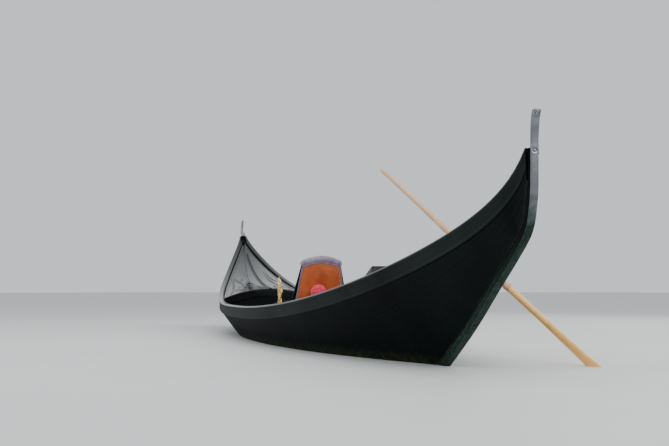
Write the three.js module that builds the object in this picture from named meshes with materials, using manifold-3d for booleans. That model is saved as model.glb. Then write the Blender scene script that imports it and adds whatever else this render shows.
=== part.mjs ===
// Venetian rowing gondola, afloat, with its oar in the crotch.
// Millimetres. +X to the bow, +Y to port, +Z up.
// Origin: on the waterline, at the widest section, on the straight line from sternpost to stem.
import * as THREE from "three";
import { mergeVertices } from "three/addons/utils/BufferGeometryUtils.js";
import Module from "manifold-3d";

const wasm = await Module();
wasm.setup();

// Driving dimensions of the hull
const STERN_X = -5530; // aft end of the planking
const BOW_X = 5190; // fore end of the planking
const AFT_LENGTH = 5600; // widest section to the stern tip
const FORE_LENGTH = 5250; // widest section to the bow tip
const HALF_BEAM = 737; // mean of the two sides
const LOPSIDED = 0.18; // the port side is wider and the starboard side narrower by this share
const BOTTOM_HALF = 450; // mean half-width of the flat bottom
const DRAFT = 260;
const LOW_SHEER_X = 400;
const LOW_SHEER = 340;
const STERN_SHEER = 1214;
const STERN_HOOK = { rise: 258, reach: 283 }; // the sheer's last upturn, towards the stern tip
const BOW_SHEER = 1290;
const PLANK = 20; // side planking, measured across the boat
const BOTTOM_PLANK = 20;
const POST_HALF = 16; // half-thickness of stem and sternpost
const STRAKE = 105; // height of the upright sheer strake
const GAP = 0.3; // between flat faces
const SEAT = 0.8; // between curved faces
const SHAPE_END = 38.5; // half-width of the planking at the tips

// Fittings
const FLOOR_TOP = -128;
const FLOOR_THICK = 20;
const CARPET = 8;
const STERN_DECK = { aft: -5440, fore: -1850 };
const BOW_DECK = { aft: 2400, fore: 5080 };
const DECK_THICK = 18;
const DECK_DROP = 10; // deck edge below the planks' top
const CAMBER = 0.22; // deck crown as a share of its half-width
const RIDGE_HALF = 22;
const WELL_RIBS = [-1700, -1350, -1000, -650, -300, 50, 400, 750, 1100, 1450, 1800, 2150];

const mix = (a, b, t) => a + (b - a) * t;
const clamp01 = (t) => Math.min(1, Math.max(0, t));

// Profile of the boat's underside: one curve aft, one forward, each flat amidships
const AFT_END = -3600; // ends of the flat bottom, where the posts begin
const FORE_END = 3416;
const sternBottom = new THREE.CubicBezierCurve(
  new THREE.Vector2(0, -DRAFT),
  new THREE.Vector2(-1500, -DRAFT),
  new THREE.Vector2(-3250, -264),
  new THREE.Vector2(AFT_END, -110),
);
// Raked and nearly straight, then a tight bend under the upright head; columns: x, height
const sternProfile = [
  [AFT_END, -110],
  [-3850, 0],
  [-4150, 150],
  [-4512, 345],
  [-4860, 560],
  [-5205, 768],
  [-5440, 930],
  [-5510, 1080],
  [STERN_X, 1200],
];
const sternPost = new THREE.SplineCurve(sternProfile.map(([x, z]) => new THREE.Vector2(x, z)));
const bowBottom = new THREE.CubicBezierCurve(
  new THREE.Vector2(0, -DRAFT),
  new THREE.Vector2(1500, -DRAFT),
  new THREE.Vector2(2986, -201),
  new THREE.Vector2(FORE_END, -82),
);
const stemPost = new THREE.CubicBezierCurve(
  new THREE.Vector2(FORE_END, -82),
  new THREE.Vector2(4114, 111),
  new THREE.Vector2(5075, 428),
  new THREE.Vector2(BOW_X, 1130),
);
const PROFILE_STEPS = 80;
const keelLine = [
  ...sternPost.getPoints(PROFILE_STEPS).reverse(),
  ...sternBottom.getPoints(PROFILE_STEPS).reverse().slice(1),
  ...bowBottom.getPoints(PROFILE_STEPS).slice(1),
  ...stemPost.getPoints(PROFILE_STEPS).slice(1),
];

function keelCurve(x) {
  let i = keelLine.findIndex((p) => p.x >= x);
  i = Math.min(Math.max(i, 1), keelLine.length - 1);
  const [a, b] = [keelLine[i - 1], keelLine[i]];
  return mix(a.y, b.y, clamp01((x - a.x) / (b.x - a.x)));
}

function sheerCurve(x) {
  if (x < LOW_SHEER_X) {
    const u = (LOW_SHEER_X - x) / (LOW_SHEER_X + AFT_LENGTH);
    const hook = STERN_HOOK.rise * Math.exp(-(x + AFT_LENGTH) / STERN_HOOK.reach);
    return LOW_SHEER + (STERN_SHEER - LOW_SHEER) * u ** 2.5 + hook;
  }
  const u = (x - LOW_SHEER_X) / (FORE_LENGTH - LOW_SHEER_X);
  return LOW_SHEER + (BOW_SHEER - LOW_SHEER) * u ** 3.14;
}

function meanBeam(x) {
  const u = clamp01(x < 0 ? -x / AFT_LENGTH : x / FORE_LENGTH);
  return HALF_BEAM * (x < 0 ? (1 - u ** 1.9) ** 1.15 : (1 - u ** 2.5) ** 1.05);
}

// side is +1 to port and -1 to starboard; half-widths are counted from the straight centreline
const sideShare = (side) => 1 + LOPSIDED * side;
const sheerHalfCurve = (x, side) => Math.hypot(meanBeam(x) * sideShare(side), SHAPE_END);

function chineHalfCurve(x, side) {
  const u = clamp01(x < 0 ? x / AFT_END : x / FORE_END);
  const flat = BOTTOM_HALF * (1 - u ** 2.2) ** 1.1 * sideShare(side);
  return Math.hypot(flat, POST_HALF + 0.6 + PLANK);
}

// Planks run straight from station to station, so every fitting reads the lines the same way
const postStations = (curve, n) => curve.getPoints(n).map((p) => p.x);
const HULL_STATIONS = [
  ...postStations(sternPost, 11).reverse(),
  ...[-3250, -2900, -2600, -2300, -2050, -1850, -1600, -1350, -1000, -650, -300],
  ...[50, 400, 750, 1100, 1450, 1800, 2100, 2400, 2700, 3000, 3220],
  ...postStations(stemPost, 11),
];
function onStations(curve) {
  return (x, side) => {
    let i = HULL_STATIONS.findIndex((station) => station >= x);
    if (i < 0) i = HULL_STATIONS.length - 1;
    i = Math.max(i, 1);
    const [x0, x1] = [HULL_STATIONS[i - 1], HULL_STATIONS[i]];
    return mix(curve(x0, side), curve(x1, side), clamp01((x - x0) / (x1 - x0)));
  };
}
const keelZ = onStations(keelCurve);
const sheerZ = onStations(sheerCurve);
const sheerHalf = onStations(sheerHalfCurve);
const chineHalf = onStations(chineHalfCurve);
const deckCentre = (x) => (sheerHalf(x, 1) - sheerHalf(x, -1)) / 2;

const strakeHeight = onStations((x) => Math.min(STRAKE, 0.8 * (sheerZ(x) - keelZ(x))));

// Outer face of one side at x, from the chine up: [half-width, height] pairs
function sideSection(x, side) {
  const low = [chineHalf(x, side), keelZ(x) + BOTTOM_PLANK + GAP];
  const drop = strakeHeight(x);
  const top = [sheerHalf(x, side), sheerZ(x)];
  const knuckle = [Math.max(top[0] - drop * 0.09, low[0]), top[1] - drop];
  const span = knuckle[0] - low[0];
  const bulged = (t, out) => [mix(low[0], knuckle[0], t) + span * out, mix(low[1], knuckle[1], t)];
  return [low, bulged(0.33, 0.06), bulged(0.67, 0.05), knuckle, top];
}

// Half-width of the planking's inner face at height z
function innerHalf(x, side, z) {
  const s = sideSection(x, side);
  for (let i = 1; i < s.length; i++)
    if (z <= s[i][1] || i === s.length - 1) {
      const t = clamp01((z - s[i - 1][1]) / (s[i][1] - s[i - 1][1]));
      return mix(s[i - 1][0], s[i][0], t) - PLANK;
    }
}

// Closed solid through rings of equal length; the ends are capped flat
function loft(rings) {
  const n = rings[0].length;
  const positions = rings.flat().flatMap((p) => [p.x, p.y, p.z]);
  const index = [];
  for (let i = 0; i + 1 < rings.length; i++)
    for (let j = 0; j < n; j++) {
      const k = (j + 1) % n;
      const [a, b, c, d] = [i * n + j, i * n + k, (i + 1) * n + k, (i + 1) * n + j];
      index.push(a, b, c, a, c, d);
    }
  const cap = (ring, offset, flip) => {
    const normal = new THREE.Vector3();
    ring.forEach((p, i) => normal.add(new THREE.Vector3().crossVectors(p, ring[(i + 1) % n])));
    normal.normalize();
    const u = new THREE.Vector3(1, 0, 0);
    if (Math.abs(normal.x) > 0.7) u.set(0, 1, 0);
    u.addScaledVector(normal, -u.dot(normal)).normalize();
    const v = new THREE.Vector3().crossVectors(normal, u);
    const flat = ring.map((p) => new THREE.Vector2(p.dot(u), p.dot(v)));
    for (const [a, b, c] of THREE.ShapeUtils.triangulateShape(flat, []))
      index.push(...(flip ? [c, b, a] : [a, b, c]).map((corner) => offset + corner));
  };
  cap(rings[0], 0, true);
  cap(rings.at(-1), (rings.length - 1) * n, false);
  const geometry = new THREE.BufferGeometry();
  geometry.setAttribute("position", new THREE.Float32BufferAttribute(positions, 3));
  geometry.setIndex(index);
  return facingOut(geometry);
}

function facingOut(geometry) {
  const p = geometry.getAttribute("position");
  const at = (i) => new THREE.Vector3().fromBufferAttribute(p, i);
  const index = geometry.index.array;
  let volume = 0;
  for (let i = 0; i < index.length; i += 3)
    volume += at(index[i]).dot(at(index[i + 1]).cross(at(index[i + 2])));
  for (let i = 0; volume < 0 && i < index.length; i += 3)
    [index[i + 1], index[i + 2]] = [index[i + 2], index[i + 1]];
  return geometry;
}

function toSolid(geometry) {
  const g = geometry.index ? geometry.toNonIndexed() : geometry.clone();
  const bare = new THREE.BufferGeometry().setAttribute("position", g.getAttribute("position"));
  const merged = mergeVertices(bare, 1e-3);
  return new wasm.Manifold(
    new wasm.Mesh({
      numProp: 3,
      vertProperties: new Float32Array(merged.attributes.position.array),
      triVerts: new Uint32Array(merged.index.array),
    }),
  );
}

function toGeometry(solid) {
  const m = solid.getMesh();
  const geometry = new THREE.BufferGeometry();
  geometry.setAttribute("position", new THREE.BufferAttribute(new Float32Array(m.vertProperties), 3));
  geometry.setIndex(new THREE.BufferAttribute(new Uint32Array(m.triVerts), 1));
  return geometry;
}

const union = (...parts) => toGeometry(parts.map(toSolid).reduce((a, b) => a.add(b)));

const box = (x0, x1, y0, y1, z0, z1) =>
  new THREE.BoxGeometry(x1 - x0, y1 - y0, z1 - z0).translate((x0 + x1) / 2, (y0 + y1) / 2, (z0 + z1) / 2);

// Flat outline in the X-Z plane, extruded across the boat about its middle
function plateXZ(shape, depth, curveSegments = 6) {
  const g = new THREE.ExtrudeGeometry(shape, { depth, bevelEnabled: false, curveSegments });
  return g.rotateX(Math.PI / 2).translate(0, depth / 2, 0);
}

// Flat outline in the Y-Z plane (shape x is boat y), extruded forward from x = 0
function plateYZ(shape, depth, curveSegments = 6) {
  const g = new THREE.ExtrudeGeometry(shape, { depth, bevelEnabled: false, curveSegments });
  return g.applyMatrix4(new THREE.Matrix4().set(0, 0, 1, 0, 1, 0, 0, 0, 0, 1, 0, 0, 0, 0, 0, 1));
}

const boat = new THREE.Group();

function add(name, geometry, material, parent = boat) {
  const mesh = new THREE.Mesh(geometry, material);
  mesh.name = name;
  parent.add(mesh);
  return mesh;
}

const finish = (color, roughness, metalness = 0) =>
  new THREE.MeshStandardMaterial({ color, roughness, metalness });
const lacquer = finish(0x08090b, 0.12);
const lacquerInside = finish(0x101114, 0.35);
const steel = finish(0xc4c7cc, 0.22, 1);
const brass = finish(0xc9a14a, 0.25, 1);
const walnut = finish(0x5a3820, 0.4);
const oarWood = finish(0xc8924e, 0.45);
const floorWood = finish(0x2b2420, 0.55);
const orangeLeather = finish(0xa84a26, 0.5);
const crestSilver = finish(0x9a96a6, 0.3);
const redWool = finish(0xd8404a, 0.9);
const carpetCloth = finish(0x7a1f1c, 0.95);

// Hull shell
const ring = (pairs, x) => pairs.map(([y, z]) => new THREE.Vector3(x, y, z));

const BUTT = 0.15; // each side of a butt joint between two lengths of planking
function lengthOf(stations, [from, to]) {
  const inside = stations.filter((x) => x > from && x < to);
  const first = stations.includes(from) ? from + BUTT : stations[0];
  const last = stations.includes(to) ? to - BUTT : stations.at(-1);
  return [first, ...inside.filter((x) => x > first && x < last), last];
}
function sidePlanking(side, span) {
  return loft(
    lengthOf(HULL_STATIONS, span).map((x) => {
      const outer = sideSection(x, side);
      const inner = outer.map(([y, z]) => [y - PLANK, z]).reverse();
      return ring([...outer, ...inner].map(([y, z]) => [y * side, z]), x);
    }),
  );
}

function bottomPlanking(span) {
  return loft(
    lengthOf(HULL_STATIONS, span).map((x) => {
      const [port, starboard, z] = [chineHalf(x, 1), chineHalf(x, -1), keelZ(x)];
      const pairs = [
        [port, z],
        [port, z + BOTTOM_PLANK],
        [-starboard, z + BOTTOM_PLANK],
        [-starboard, z],
      ];
      return ring(pairs, x);
    }),
  );
}

// Stem or sternpost: a plate between the plank ends along the profile curve, upright above it,
// and a wider facing outside the plank ends
const POST_PROUD = 30;
const POST_DEPTH = 60;
const POST_STEPS = 16;
const FACING_HALF = 28;
const FACING_SEAM = 4; // left between the facing and the planks' lower edges
function post(curve, topZ, outward) {
  const along = (offset) => {
    const line = [];
    for (let i = 0; i <= POST_STEPS; i++) {
      const t = curve.getTangent(i / POST_STEPS);
      const normal = new THREE.Vector2(t.y, -t.x).multiplyScalar(outward * offset(Math.abs(t.x)));
      line.push(curve.getPoint(i / POST_STEPS).add(normal));
    }
    line[0] = curve.getPoint(0).sub(new THREE.Vector2(0, offset(1)));
    line.push(new THREE.Vector2(line.at(-1).x, topZ));
    return line;
  };
  const outer = along(() => POST_PROUD);
  const middle = along(() => POST_PROUD / 2);
  const facingBack = along((flatness) => -Math.max(0, (BOTTOM_PLANK + GAP) * flatness - FACING_SEAM));
  const inner = along(() => -POST_DEPTH);
  inner.at(-1).y = topZ - 14;
  const core = plateXZ(new THREE.Shape([...middle, ...inner.reverse()]), 2 * POST_HALF);
  const facing = plateXZ(new THREE.Shape([...outer, ...facingBack.reverse()]), 2 * FACING_HALF);
  return union(core, facing);
}

// Sheer strake and cap in one moulding along each side: a bead along its foot, a flat band,
// a groove and a second bead under the cap
const CAP_IN = 48;
const CAP_TOP = 24;
const BEAD_OUT = 15; // the beads stand this far outside the planking
const BEAD_TIP = 7; // at the two ends of the boat
const TIP_TAPER = 450;
function rail(side) {
  const stations = HULL_STATIONS;
  return loft(
    stations.map((x) => {
      const [, , , [yk, zk], [ys, zs]] = sideSection(x, side);
      const inboard = Math.max(ys - CAP_IN, POST_HALF + 1.3);
      const out = mix(BEAD_TIP, BEAD_OUT, clamp01(Math.min(x - STERN_X, BOW_X - x) / TIP_TAPER));
      const band = out * 0.6;
      const pairs = [
        [yk + 0.5, zk],
        [yk + out - 4, zk + 2],
        [yk + out, zk + 9],
        [yk + out - 2, zk + 17],
        [mix(yk, ys, 0.2) + band, zk + 21],
        [mix(yk, ys, 0.8) + band, zs - 21],
        [mix(yk, ys, 0.84) + out - 2, zs - 17],
        [ys + out, zs - 8],
        [ys + out - 1, zs + 14],
        [ys + 5, zs + CAP_TOP],
        [Math.min(inboard + 8, ys), zs + CAP_TOP],
        [inboard, zs + CAP_TOP - 8],
        [inboard, zs + 0.5],
        [ys + 0.5, zs + 0.5],
      ].reverse();
      return ring(pairs.map(([y, z]) => [y * side, z]), x);
    }),
  );
}

// Crowned deck between the two sides
const DECK_LEAN = 4; // the strake leans out by less than this over the deck's thickness
const deckHalf = (x) => (sheerHalf(x, 1) + sheerHalf(x, -1)) / 2 - PLANK - SEAT - DECK_LEAN;
const acrossDeck = (half) => {
  const flat = Math.min(RIDGE_HALF, half * 0.2) / half;
  return [-1, -0.75, -0.5, -0.25, -flat, flat, 0.25, 0.5, 0.75, 1];
};
function deckTop(x, y) {
  const half = deckHalf(x);
  const r = (y - deckCentre(x)) / half;
  const nodes = acrossDeck(half);
  const i = Math.max(1, nodes.findIndex((node) => node >= Math.min(r, 1)));
  const [a, b] = [nodes[i - 1], nodes[i]];
  const crown = mix(1 - a ** 2, 1 - b ** 2, (r - a) / (b - a));
  return sheerZ(x) - DECK_DROP + CAMBER * half * crown;
}
function stationsBetween(aft, fore) {
  return [aft, ...HULL_STATIONS.filter((x) => x > aft + 40 && x < fore - 40), fore];
}
function deck(range) {
  return loft(
    stationsBetween(range.aft, range.fore).map((x) => {
      const half = deckHalf(x);
      const top = acrossDeck(half).map((r) => {
        const y = deckCentre(x) + r * half;
        return [y, deckTop(x, y)];
      });
      const under = top.map(([y, z]) => [y, z - DECK_THICK]).reverse();
      return ring([...top, ...under], x);
    }),
  );
}

// Raised moulding along a deck's centre
const RIDGE_TOP = 17;
function deckRidge(range, narrowEnd) {
  const from = narrowEnd < 0 ? range.aft + 420 : range.aft;
  const to = narrowEnd < 0 ? range.fore : range.fore - 420;
  return loft(
    stationsBetween(from, to).map((x) => {
      const c = deckCentre(x);
      const base = deckTop(x, c + RIDGE_HALF) + SEAT;
      const half = RIDGE_HALF - 3;
      const pairs = [
        [c - half, base],
        [c - half, base + RIDGE_TOP * 0.45],
        [c - half * 0.55, base + RIDGE_TOP],
        [c + half * 0.55, base + RIDGE_TOP],
        [c + half, base + RIDGE_TOP * 0.45],
        [c + half, base],
      ];
      return ring(pairs, x);
    }),
  );
}

// columns: name, aft end, fore end
const sideLengths = [
  ["aft", -Infinity, -1850],
  ["mid_aft", -1850, 50],
  ["mid_fore", 50, 2400],
  ["fore", 2400, Infinity],
];
for (const [name, aft, fore] of sideLengths) {
  add(`side_port_${name}`, sidePlanking(1, [aft, fore]), lacquer);
  add(`side_starboard_${name}`, sidePlanking(-1, [aft, fore]), lacquer);
}
const bottomLengths = [
  ["aft", AFT_END, -1600],
  ["mid", -1600, 1450],
  ["fore", 1450, FORE_END],
];
for (const [name, aft, fore] of bottomLengths) add(`bottom_${name}`, bottomPlanking([aft, fore]), lacquer);
const sternTopZ = sheerZ(STERN_X) + CAP_TOP;
const bowTopZ = sheerZ(BOW_X) + CAP_TOP;
add("sternpost", post(sternPost, sternTopZ, -1), lacquer);
add("stem", post(stemPost, bowTopZ, 1), lacquer);
add("stern_deck", deck(STERN_DECK), lacquer);
add("bow_deck", deck(BOW_DECK), lacquer);
add("stern_deck_ridge", deckRidge(STERN_DECK, -1), lacquer);
add("bow_deck_ridge", deckRidge(BOW_DECK, 1), lacquer);

// Ribs of the open well: floor timber and two side arms in one frame
const RIB_THICK = 32;
const RIB_DEPTH = 42;
const INWALE_DEPTH = 45;
const ribTop = (x) => sheerZ(x) - INWALE_DEPTH - SEAT;
function ribRing(x) {
  const arm = (side) => {
    const section = sideSection(x, side);
    const heights = [section[0][1] + 1, section[1][1], section[2][1], section[3][1], ribTop(x)];
    return heights.map((z) => [innerHalf(x, side, z) - SEAT - 0.7, z]);
  };
  const inside = (side) => {
    const floorZ = FLOOR_TOP - FLOOR_THICK - GAP;
    const zs = [floorZ, mix(floorZ, ribTop(x), 0.5), ribTop(x)];
    return zs.map((z) => [innerHalf(x, side, z) - SEAT - RIB_DEPTH, z]);
  };
  const [p, s] = [arm(1), arm(-1).map(([y, z]) => [-y, z])];
  const [pi, si] = [inside(1), inside(-1).map(([y, z]) => [-y, z])];
  return ring([...p.reverse(), ...s, ...si.reverse(), ...pi], x);
}
const KEELSON_HALF = 55;
function keelson(from, to) {
  return loft(
    stationsBetween(from, to).map((x) => {
      const low = keelZ(x) + BOTTOM_PLANK + 1.5;
      const pairs = [
        [KEELSON_HALF, low],
        [KEELSON_HALF, low + 30],
        [-KEELSON_HALF, low + 30],
        [-KEELSON_HALF, low],
      ];
      return ring(pairs, x);
    }),
  );
}
function ribs(positions) {
  const frames = positions.map((x) => loft([ribRing(x - RIB_THICK / 2), ribRing(x + RIB_THICK / 2)]));
  return union(keelson(positions[0] - 60, positions.at(-1) + 60), ...frames);
}

// Inner wale under the cap, along the well
const WELL = { aft: STERN_DECK.fore + 46, fore: BOW_DECK.aft - 46 };
function inwale(side) {
  return loft(
    stationsBetween(WELL.aft, WELL.fore).map((x) => {
      const zs = sheerZ(x);
      const top = innerHalf(x, side, zs) - SEAT;
      const low = innerHalf(x, side, zs - INWALE_DEPTH) - SEAT;
      const pairs = [
        [top, zs + 2],
        [top - 27, zs + 2],
        [top - 27, zs - INWALE_DEPTH],
        [low, zs - INWALE_DEPTH],
      ];
      return ring(pairs.map(([y, z]) => [y * side, z]), x);
    }),
  );
}

// Floorboards between the ribs' arms
function floorRing(x, under, top) {
  const edge = (side, z) => innerHalf(x, side, z) - SEAT - RIB_DEPTH - 3;
  const low = FLOOR_TOP - FLOOR_THICK;
  const pairs = [
    [edge(1, low), under],
    [edge(1, low), top],
    [-edge(-1, low), top],
    [-edge(-1, low), under],
  ];
  return ring(pairs, x);
}
const floorboards = (xs) => loft(xs.map((x) => floorRing(x, FLOOR_TOP - FLOOR_THICK, FLOOR_TOP)));

add("ribs", ribs(WELL_RIBS), lacquerInside);
add("rail_port", union(rail(1), inwale(1)), lacquer);
add("rail_starboard", union(rail(-1), inwale(-1)), lacquer);
const AFT_FLOOR_END = -560;
add("floorboards_aft", floorboards([WELL.aft + 30, -1350, -1000, AFT_FLOOR_END]), floorWood);
add("floorboards_main", floorboards([AFT_FLOOR_END + 3, 50, 750, 1450, WELL.fore - 30]), floorWood);

// Arched beam under a deck's open end, and the panel that closes the space below it
const BEAM_DEPTH = 62;
const BEAM_THICK = 40;
function beamRing(x) {
  const half = deckHalf(x) - 6;
  const c = deckCentre(x);
  const rs = [-1, -0.75, -0.5, -0.25, -RIDGE_HALF / half, RIDGE_HALF / half, 0.25, 0.5, 0.75, 1];
  const top = rs.map((r) => [c + r * half, deckTop(x, c + r * half) - DECK_THICK - 0.4]);
  const low = rs.map((r) => [c + r * (half - 8), deckTop(x, c + r * half) - DECK_THICK - BEAM_DEPTH]);
  return ring([...top, ...low.reverse()], x);
}
const beam = (x0) => loft([beamRing(x0), beamRing(x0 + BEAM_THICK)]);
const PANEL_THICK = 16;
function panelRing(x) {
  const half = deckHalf(x) - 14;
  const c = deckCentre(x);
  const top = [-1, -0.5, 0, 0.5, 1].map((r) => [
    c + r * half,
    deckTop(x, c + r * (half + 8)) - DECK_THICK - BEAM_DEPTH + 8,
  ]);
  const down = (side) => {
    const section = sideSection(x, side);
    const zs = [section[2][1], section[1][1], section[0][1] + 2];
    return zs.map((z) => [(innerHalf(x, side, z) - SEAT - 0.5) * side, z]);
  };
  return ring([...top, ...down(1), ...down(-1).reverse()], x);
}
const panel = (x0) => loft([panelRing(x0), panelRing(x0 + PANEL_THICK)]);
const sternBeamX = STERN_DECK.fore - BEAM_THICK - 4;
const bowBeamX = BOW_DECK.aft + 4;
const PANEL_IN = 12; // from a beam's aft face to its panel
add("stern_bulkhead", union(beam(sternBeamX), panel(sternBeamX + PANEL_IN)), lacquer);
add("bow_bulkhead", union(beam(bowBeamX), panel(bowBeamX + PANEL_IN)), lacquer);

// Stern iron: a strap up the whole sternpost that ends in a backward curl
function strap(points, width, thick) {
  const rings = points.map((p, i) => {
    const a = points[Math.max(i - 1, 0)];
    const b = points[Math.min(i + 1, points.length - 1)];
    const t = b.clone().sub(a).normalize();
    const n = new THREE.Vector2(t.y, -t.x).multiplyScalar(thick / 2);
    const [w, x0, z0, x1, z1] = [width / 2, p.x + n.x, p.y + n.y, p.x - n.x, p.y - n.y];
    return [
      new THREE.Vector3(x0, -w, z0),
      new THREE.Vector3(x0, w, z0),
      new THREE.Vector3(x1, w, z1),
      new THREE.Vector3(x1, -w, z1),
    ];
  });
  return loft(rings);
}
const STRAP_THICK = 10;
const STRAP_OFF = POST_PROUD + STRAP_THICK / 2 + SEAT;
function alongPost(curve, first, outward) {
  const points = [];
  for (let i = first; i <= POST_STEPS; i++) {
    const t = curve.getTangent(i / POST_STEPS);
    const n = new THREE.Vector2(t.y, -t.x).multiplyScalar(outward * STRAP_OFF);
    points.push(curve.getPoint(i / POST_STEPS).add(n));
  }
  return points;
}
const sternStrapX = STERN_X - STRAP_OFF;
const sternCurl = new THREE.CubicBezierCurve(
  new THREE.Vector2(sternStrapX - 3, sternTopZ - 40),
  new THREE.Vector2(sternStrapX - 3, sternTopZ + 80),
  new THREE.Vector2(sternStrapX - 8, sternTopZ + 170),
  new THREE.Vector2(sternStrapX - 44, sternTopZ + 222),
);
const STERN_STRAP = 52;
const sternIronLine = [...alongPost(sternPost, 0, -1), ...sternCurl.getPoints(7)];
add("stern_iron", strap(sternIronLine, STERN_STRAP, STRAP_THICK), steel);

// Bow iron: comb of six teeth forward and one aft, under a broad blade; it follows the stem
const IRON_THICK = 14;
const IRON_OFF = POST_PROUD + 1.2;
const COMB_WIDE = 46; // from the stem to the teeth's roots
const TOOTH = { count: 6, pitch: 66, height: 40, length: 118 };
const IRON_FOOT = 60;
const HEAD_PLATE = { long: 120, half: 32, thick: 12 }; // lies on the head of the stem
const combTop = bowTopZ - 62;
const combFoot = combTop - TOOTH.pitch * TOOTH.count - IRON_FOOT;

// Point at height z on a line that runs outside the stem at a distance, and the way out from it
const stemSamples = Array.from({ length: 61 }, (_, i) => {
  const t = 0.5 + i / 120;
  const tangent = stemPost.getTangent(t);
  return { p: stemPost.getPoint(t), out: new THREE.Vector2(tangent.y, -tangent.x) };
});
function beforeStem(z, off) {
  const at = stemSamples.map(({ p, out }) => ({ p: p.clone().addScaledVector(out, off), out }));
  const next = at.findIndex(({ p }) => p.y >= z);
  if (next < 0) return { p: new THREE.Vector2(at.at(-1).p.x, z), out: new THREE.Vector2(1, 0) };
  const [a, b] = [at[Math.max(next - 1, 0)], at[next]];
  return { p: a.p.clone().lerp(b.p, clamp01((z - a.p.y) / (b.p.y - a.p.y))), out: b.out };
}
function bowIron() {
  const backEdge = [];
  for (let z = combFoot; z < stemPost.v3.y - 20; z += 40) backEdge.push(beforeStem(z, IRON_OFF).p);
  backEdge.push(beforeStem(stemPost.v3.y, IRON_OFF).p);
  const back = beforeStem(bowTopZ, IRON_OFF).p.x;
  const shape = new THREE.Shape([...backEdge, new THREE.Vector2(back, bowTopZ + 0.8)]);
  shape.lineTo(back - 34, bowTopZ + 0.8);
  shape.lineTo(back - 34, bowTopZ + 16);
  shape.lineTo(back - 150, bowTopZ + 16);
  shape.lineTo(back - 150, bowTopZ + 46);
  shape.lineTo(back - 10, bowTopZ + 58);
  shape.bezierCurveTo(back + 34, bowTopZ + 100, back + 18, bowTopZ + 190, back - 40, bowTopZ + 232);
  shape.bezierCurveTo(back + 60, bowTopZ + 262, back + 176, bowTopZ + 190, back + 168, bowTopZ + 82);
  const root = beforeStem(combTop + 8, IRON_OFF + COMB_WIDE).p;
  shape.bezierCurveTo(back + 160, bowTopZ + 20, back + 96, bowTopZ - 22, root.x, root.y);
  for (let i = 0; i < TOOTH.count; i++) {
    const top = beforeStem(combTop - i * TOOTH.pitch, IRON_OFF + COMB_WIDE);
    const reach = TOOTH.length * (1 - 0.05 * i);
    const down = new THREE.Vector2(top.out.y, -top.out.x);
    const corner = (out, fall) => top.p.clone().addScaledVector(top.out, out).addScaledVector(down, fall);
    for (const [out, fall] of [[0, 0], [reach, -3], [reach, TOOTH.height + 3], [0, TOOTH.height]]) {
      const { x, y } = corner(out, fall);
      shape.lineTo(x, y);
    }
  }
  const tip = beforeStem(combFoot, IRON_OFF + 18).p;
  shape.lineTo(tip.x, tip.y);
  const { long, half, thick } = HEAD_PLATE;
  const head = box(back - long, back, -half, half, bowTopZ + SEAT, bowTopZ + SEAT + thick);
  return union(plateXZ(shape, IRON_THICK, 7), head);
}

add("bow_iron", bowIron(), steel);
const STEM_STRAP = 40;
const stemStrapPoints = alongPost(stemPost, 0, 1).filter((p) => p.y < combFoot - 4);
add("stem_strap", strap(stemStrapPoints, STEM_STRAP, STRAP_THICK), steel);

// Oar: the shaft leaves the crotch aft and to starboard, down into the water
const SHAFT_R = 27;
const OAR = { length: 4200, loom: 1150, dive: 34.1, outboard: 24.3 };
const CROTCH = new THREE.Vector3(-2950, -427, 958);
const oarDown = new THREE.Vector3(
  -Math.cos(THREE.MathUtils.degToRad(OAR.dive)) * Math.cos(THREE.MathUtils.degToRad(OAR.outboard)),
  -Math.cos(THREE.MathUtils.degToRad(OAR.dive)) * Math.sin(THREE.MathUtils.degToRad(OAR.outboard)),
  -Math.sin(THREE.MathUtils.degToRad(OAR.dive)),
);
function oar() {
  // columns: distance along the oar from its grip, half-thickness, half-width
  const sections = [
    [0, 17, 17],
    [30, 20, 20],
    [620, 20, 20],
    [900, 25, 25],
    [1060, SHAFT_R, SHAFT_R],
    [1240, SHAFT_R, SHAFT_R],
    [2300, 27, 27],
    [2750, 22, 36],
    [3150, 15, 60],
    [3600, 10, 72],
    [4120, 7, 74],
    [4200, 5, 66],
  ];
  const across = new THREE.Vector3(0, 0, 1).cross(oarDown).normalize();
  const up = oarDown.clone().cross(across).normalize();
  const grip = CROTCH.clone().addScaledVector(oarDown, -OAR.loom);
  const sides = 12;
  return loft(
    sections.map(([along, thick, wide]) => {
      const centre = grip.clone().addScaledVector(oarDown, along);
      return Array.from({ length: sides }, (_, i) => {
        const a = (i / sides) * 2 * Math.PI;
        return centre
          .clone()
          .addScaledVector(across, Math.cos(a) * thick)
          .addScaledVector(up, Math.sin(a) * wide);
      });
    }),
  );
}
add("oar", oar(), oarWood);

// Crotch post (forcola): carved walnut, its top cone runs under the shaft at every sweep of the oar
const railTopZ = sheerZ(CROTCH.x) + CAP_TOP;
const BLOCK = { long: 300, wide: 62, high: 64 };
const blockY = -(sheerHalf(CROTCH.x, -1) - 20);
const blockZ = railTopZ + 4;
function crotchBlock() {
  const [x0, x1] = [CROTCH.x - BLOCK.long / 2, CROTCH.x + BLOCK.long / 2];
  const lowAt = (x) => sheerZ(x) + CAP_TOP + SEAT;
  const rings = [x0, CROTCH.x, x1].map((x) => {
    const y = -(sheerHalf(x, -1) - 20);
    const half = BLOCK.wide / 2 - 10;
    const topZ = Math.max(lowAt(x) + 12, blockZ + BLOCK.high - (x === CROTCH.x ? 0 : 26));
    return ring(
      [
        [y - half + 4, lowAt(x)],
        [y - half + 4, topZ],
        [y + half, topZ],
        [y + half, lowAt(x)],
      ],
      x,
    );
  });
  return loft(rings);
}
add("forcola_block", crotchBlock(), walnut);
const HORN_TURN = THREE.MathUtils.degToRad(-63);
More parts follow.
